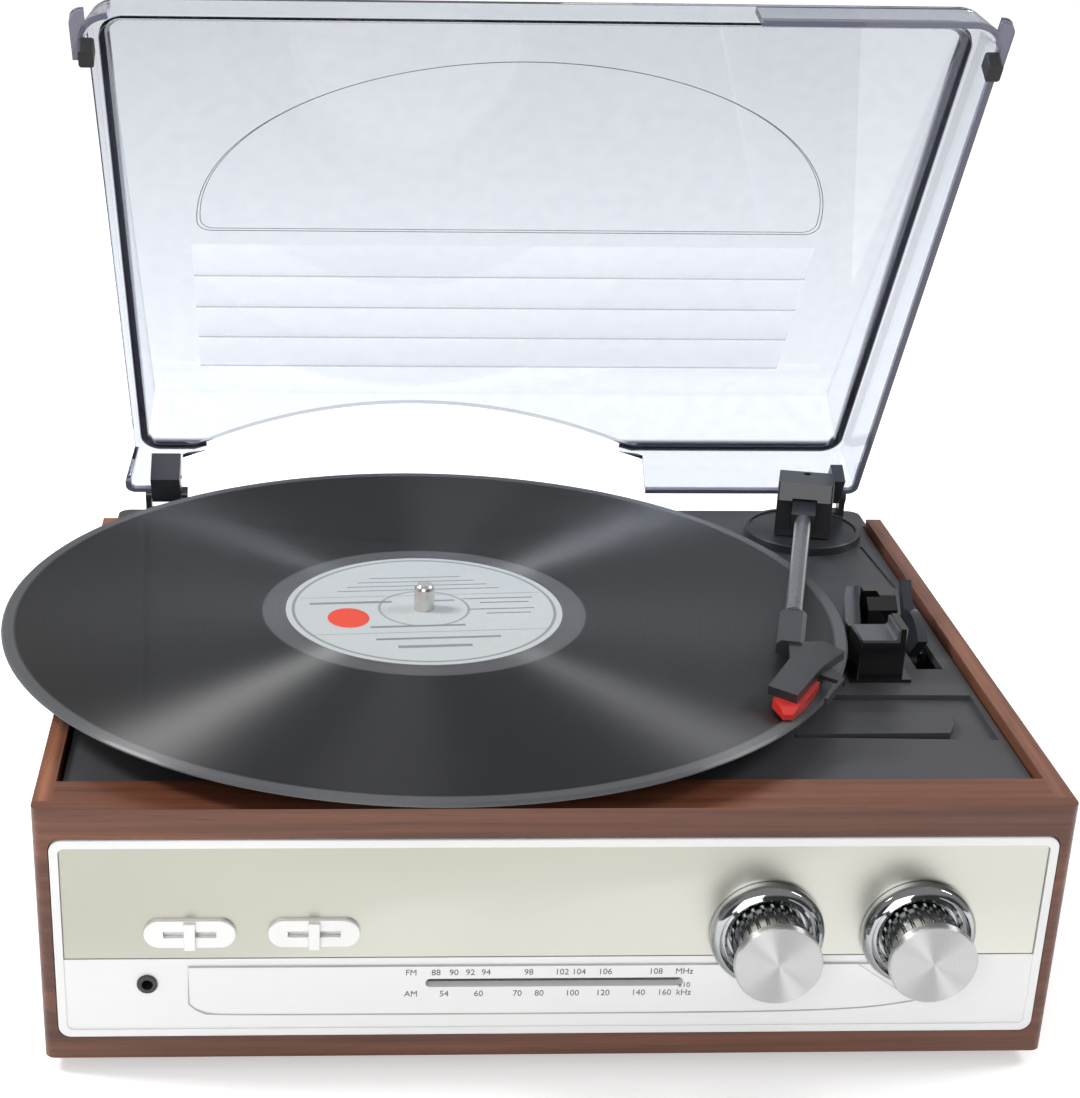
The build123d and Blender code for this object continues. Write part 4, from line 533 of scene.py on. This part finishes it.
piece("dial_numbers", points, faces, dial_ink, "case")

# Half-moon line moulded in the roof of the cover
ROOF_REAR, ROOF_FALL, ROOF_THICK = 42.2, 0.1, 2.0


def on_roof(x, u, height):
    """Point under the roof of the open cover, u forward from its rear rim."""
    v = ROOF_REAR - ROOF_FALL * u - ROOF_THICK - height
    return (x, RIM_Y - u * cos(TILT) + v * sin(TILT), RIM_Z + u * sin(TILT) + v * cos(TILT))


def arc(x, u, radius_x, radius_u, start, turns):
    """Points of an arc from an angle, through the given turns."""
    return [(x + radius_x * cos(start + turn), u + radius_u * sin(start + turn)) for turn in turns]


MOON_X, MOON_U = -1.5, 126.5
moon_line = plastic("lid_line", (0.20, 0.21, 0.25), 0.25, 900, Coat_Weight=0.5)
moon = arc(MOON_X, MOON_U, 117.5, 83.0, 0, [pi * i / 64 for i in range(65)])
moon += arc(-114.0, MOON_U, 5.0, 5.0, pi, [pi * i / 16 for i in range(1, 9)])
moon += arc(111.0, MOON_U, 5.0, 5.0, 1.5 * pi, [pi * i / 16 for i in range(8)])
line("lid_moon_outer", moon, 0.34, 0.12, on_roof, moon_line, "lid")
inset = [(MOON_X + (x - MOON_X) * 0.989, 122.8 + (u - 121.5) * 0.986) for x, u in moon]
line("lid_moon_inner", inset, 0.30, 0.12, on_roof, moon_line, "lid")

# Camera: the photograph's viewpoint, with its axis and focal length in pixels of the photograph
PHOTO_WIDTH, PHOTO_HEIGHT = 1080, 1098
FOCAL = 2130.108
AXIS_ACROSS, AXIS_DOWN = 394.4, 678.953
yaw, pitch, roll = 0.043, 0.427, 0.017
view = Vector((sin(yaw) * cos(pitch), cos(yaw) * cos(pitch), -sin(pitch)))
right = Vector((cos(yaw), -sin(yaw), 0))
up = right.cross(view)
right, up = right * cos(roll) + up * sin(roll), up * cos(roll) - right * sin(roll)
camera = bpy.data.objects.new("camera", bpy.data.cameras.new("camera"))
bpy.context.scene.collection.objects.link(camera)
camera.data.sensor_width = 36
camera.data.lens = camera.data.sensor_width * FOCAL / PHOTO_HEIGHT
camera.data.shift_x = (PHOTO_WIDTH / 2 - AXIS_ACROSS) / PHOTO_HEIGHT
camera.data.shift_y = (AXIS_DOWN - PHOTO_HEIGHT / 2) / PHOTO_HEIGHT
camera.data.clip_start = 0.02
turn = Matrix((right, up, -view)).transposed().to_4x4()
camera.matrix_world = Matrix.Translation((-0.076467, -0.713634, 0.400802)) @ turn
bpy.context.scene.camera = camera

# Floor, soft lights and a white room
floor_mesh = bpy.data.meshes.new("floor")
floor_half = 6
corners = [(x * floor_half, y * floor_half, 0) for x, y in ((-1, -1), (1, -1), (1, 1), (-1, 1))]
floor_mesh.from_pydata(corners, [], [(0, 1, 2, 3)])
floor = bpy.data.objects.new("floor", floor_mesh)
bpy.context.scene.collection.objects.link(floor)
paper_floor = material("floor_white", Base_Color=(0.86, 0.86, 0.86, 1), Roughness=0.9, Specular_IOR_Level=0.1)
tree = paper_floor.node_tree
rays = add(paper_floor, "LightPath")
seen = calc(paper_floor, "MAXIMUM", rays.outputs["Is Camera Ray"], rays.outputs["Is Glossy Ray"])
seen = calc(paper_floor, "MAXIMUM", seen, rays.outputs["Is Transmission Ray"])
out_far = add(paper_floor, "VectorMath", {0: spot(paper_floor)}, operation="LENGTH").outputs["Value"]
out_far = add(paper_floor, "MapRange", {"Value": out_far, "From Min": 0.25, "From Max": 0.75, "To Min": 0.40,
                                        "To Max": 0.62}, interpolation_type="SMOOTHSTEP").outputs[0]
shine = calc(paper_floor, "MULTIPLY", seen, out_far)
glow = add(paper_floor, "Emission", {"Color": (1, 1, 1, 1), "Strength": shine})
total = add(paper_floor, "AddShader", {0: tree.nodes["Principled BSDF"].outputs[0], 1: glow.outputs[0]})
tree.links.new(total.outputs[0], tree.nodes["Material Output"].inputs["Surface"])
floor_mesh.materials.append(paper_floor)

world = bpy.data.worlds.new("room")
bpy.context.scene.world = world
world.use_nodes = True
toward = add(world, "TexCoord").outputs["Generated"]
split = add(world, "SeparateXYZ", {0: toward})
low = ramp(world, split.outputs["Z"], (0.0, (1.0,)), (0.40, (1.0,)), (0.56, (0.0,)))
front = ramp(world, calc(world, "MULTIPLY", split.outputs["Y"], -1.0), (0.25, (0.0,)), (0.55, (1.0,)))
dark = calc(world, "MULTIPLY", low, front)
rays = add(world, "LightPath")
seen = calc(world, "MAXIMUM", rays.outputs["Is Camera Ray"], rays.outputs["Is Transmission Ray"])
lit = calc(world, "MULTIPLY_ADD", dark, -0.34, 0.42)
level = calc(world, "MAXIMUM", lit, seen)
world.node_tree.links.new(level, world.node_tree.nodes["Background"].inputs["Strength"])
world.node_tree.nodes["Background"].inputs["Color"].default_value = (1, 1, 1, 1)


LAMP_AIM = Vector((0, 0, 0.1))


def lamp(name, place, size, power):
    """Square soft light that points at the middle of the case."""
    light = bpy.data.lights.new(name, "AREA")
    light.energy = power
    light.size = size
    obj = bpy.data.objects.new(name, light)
    bpy.context.scene.collection.objects.link(obj)
    away = Vector(place) - LAMP_AIM
    obj.matrix_world = Matrix.Translation(place) @ away.to_track_quat("Z", "Y").to_matrix().to_4x4()


lamp("left", (-1.15, 0.15, 1.2), 0.4, 20)
lamp("right", (1.25, 0.15, 1.1), 0.45, 11)
lamp("front", (-0.5, -1.9, 0.8), 1.2, 17)

bpy.context.scene.view_settings.view_transform = "Standard"
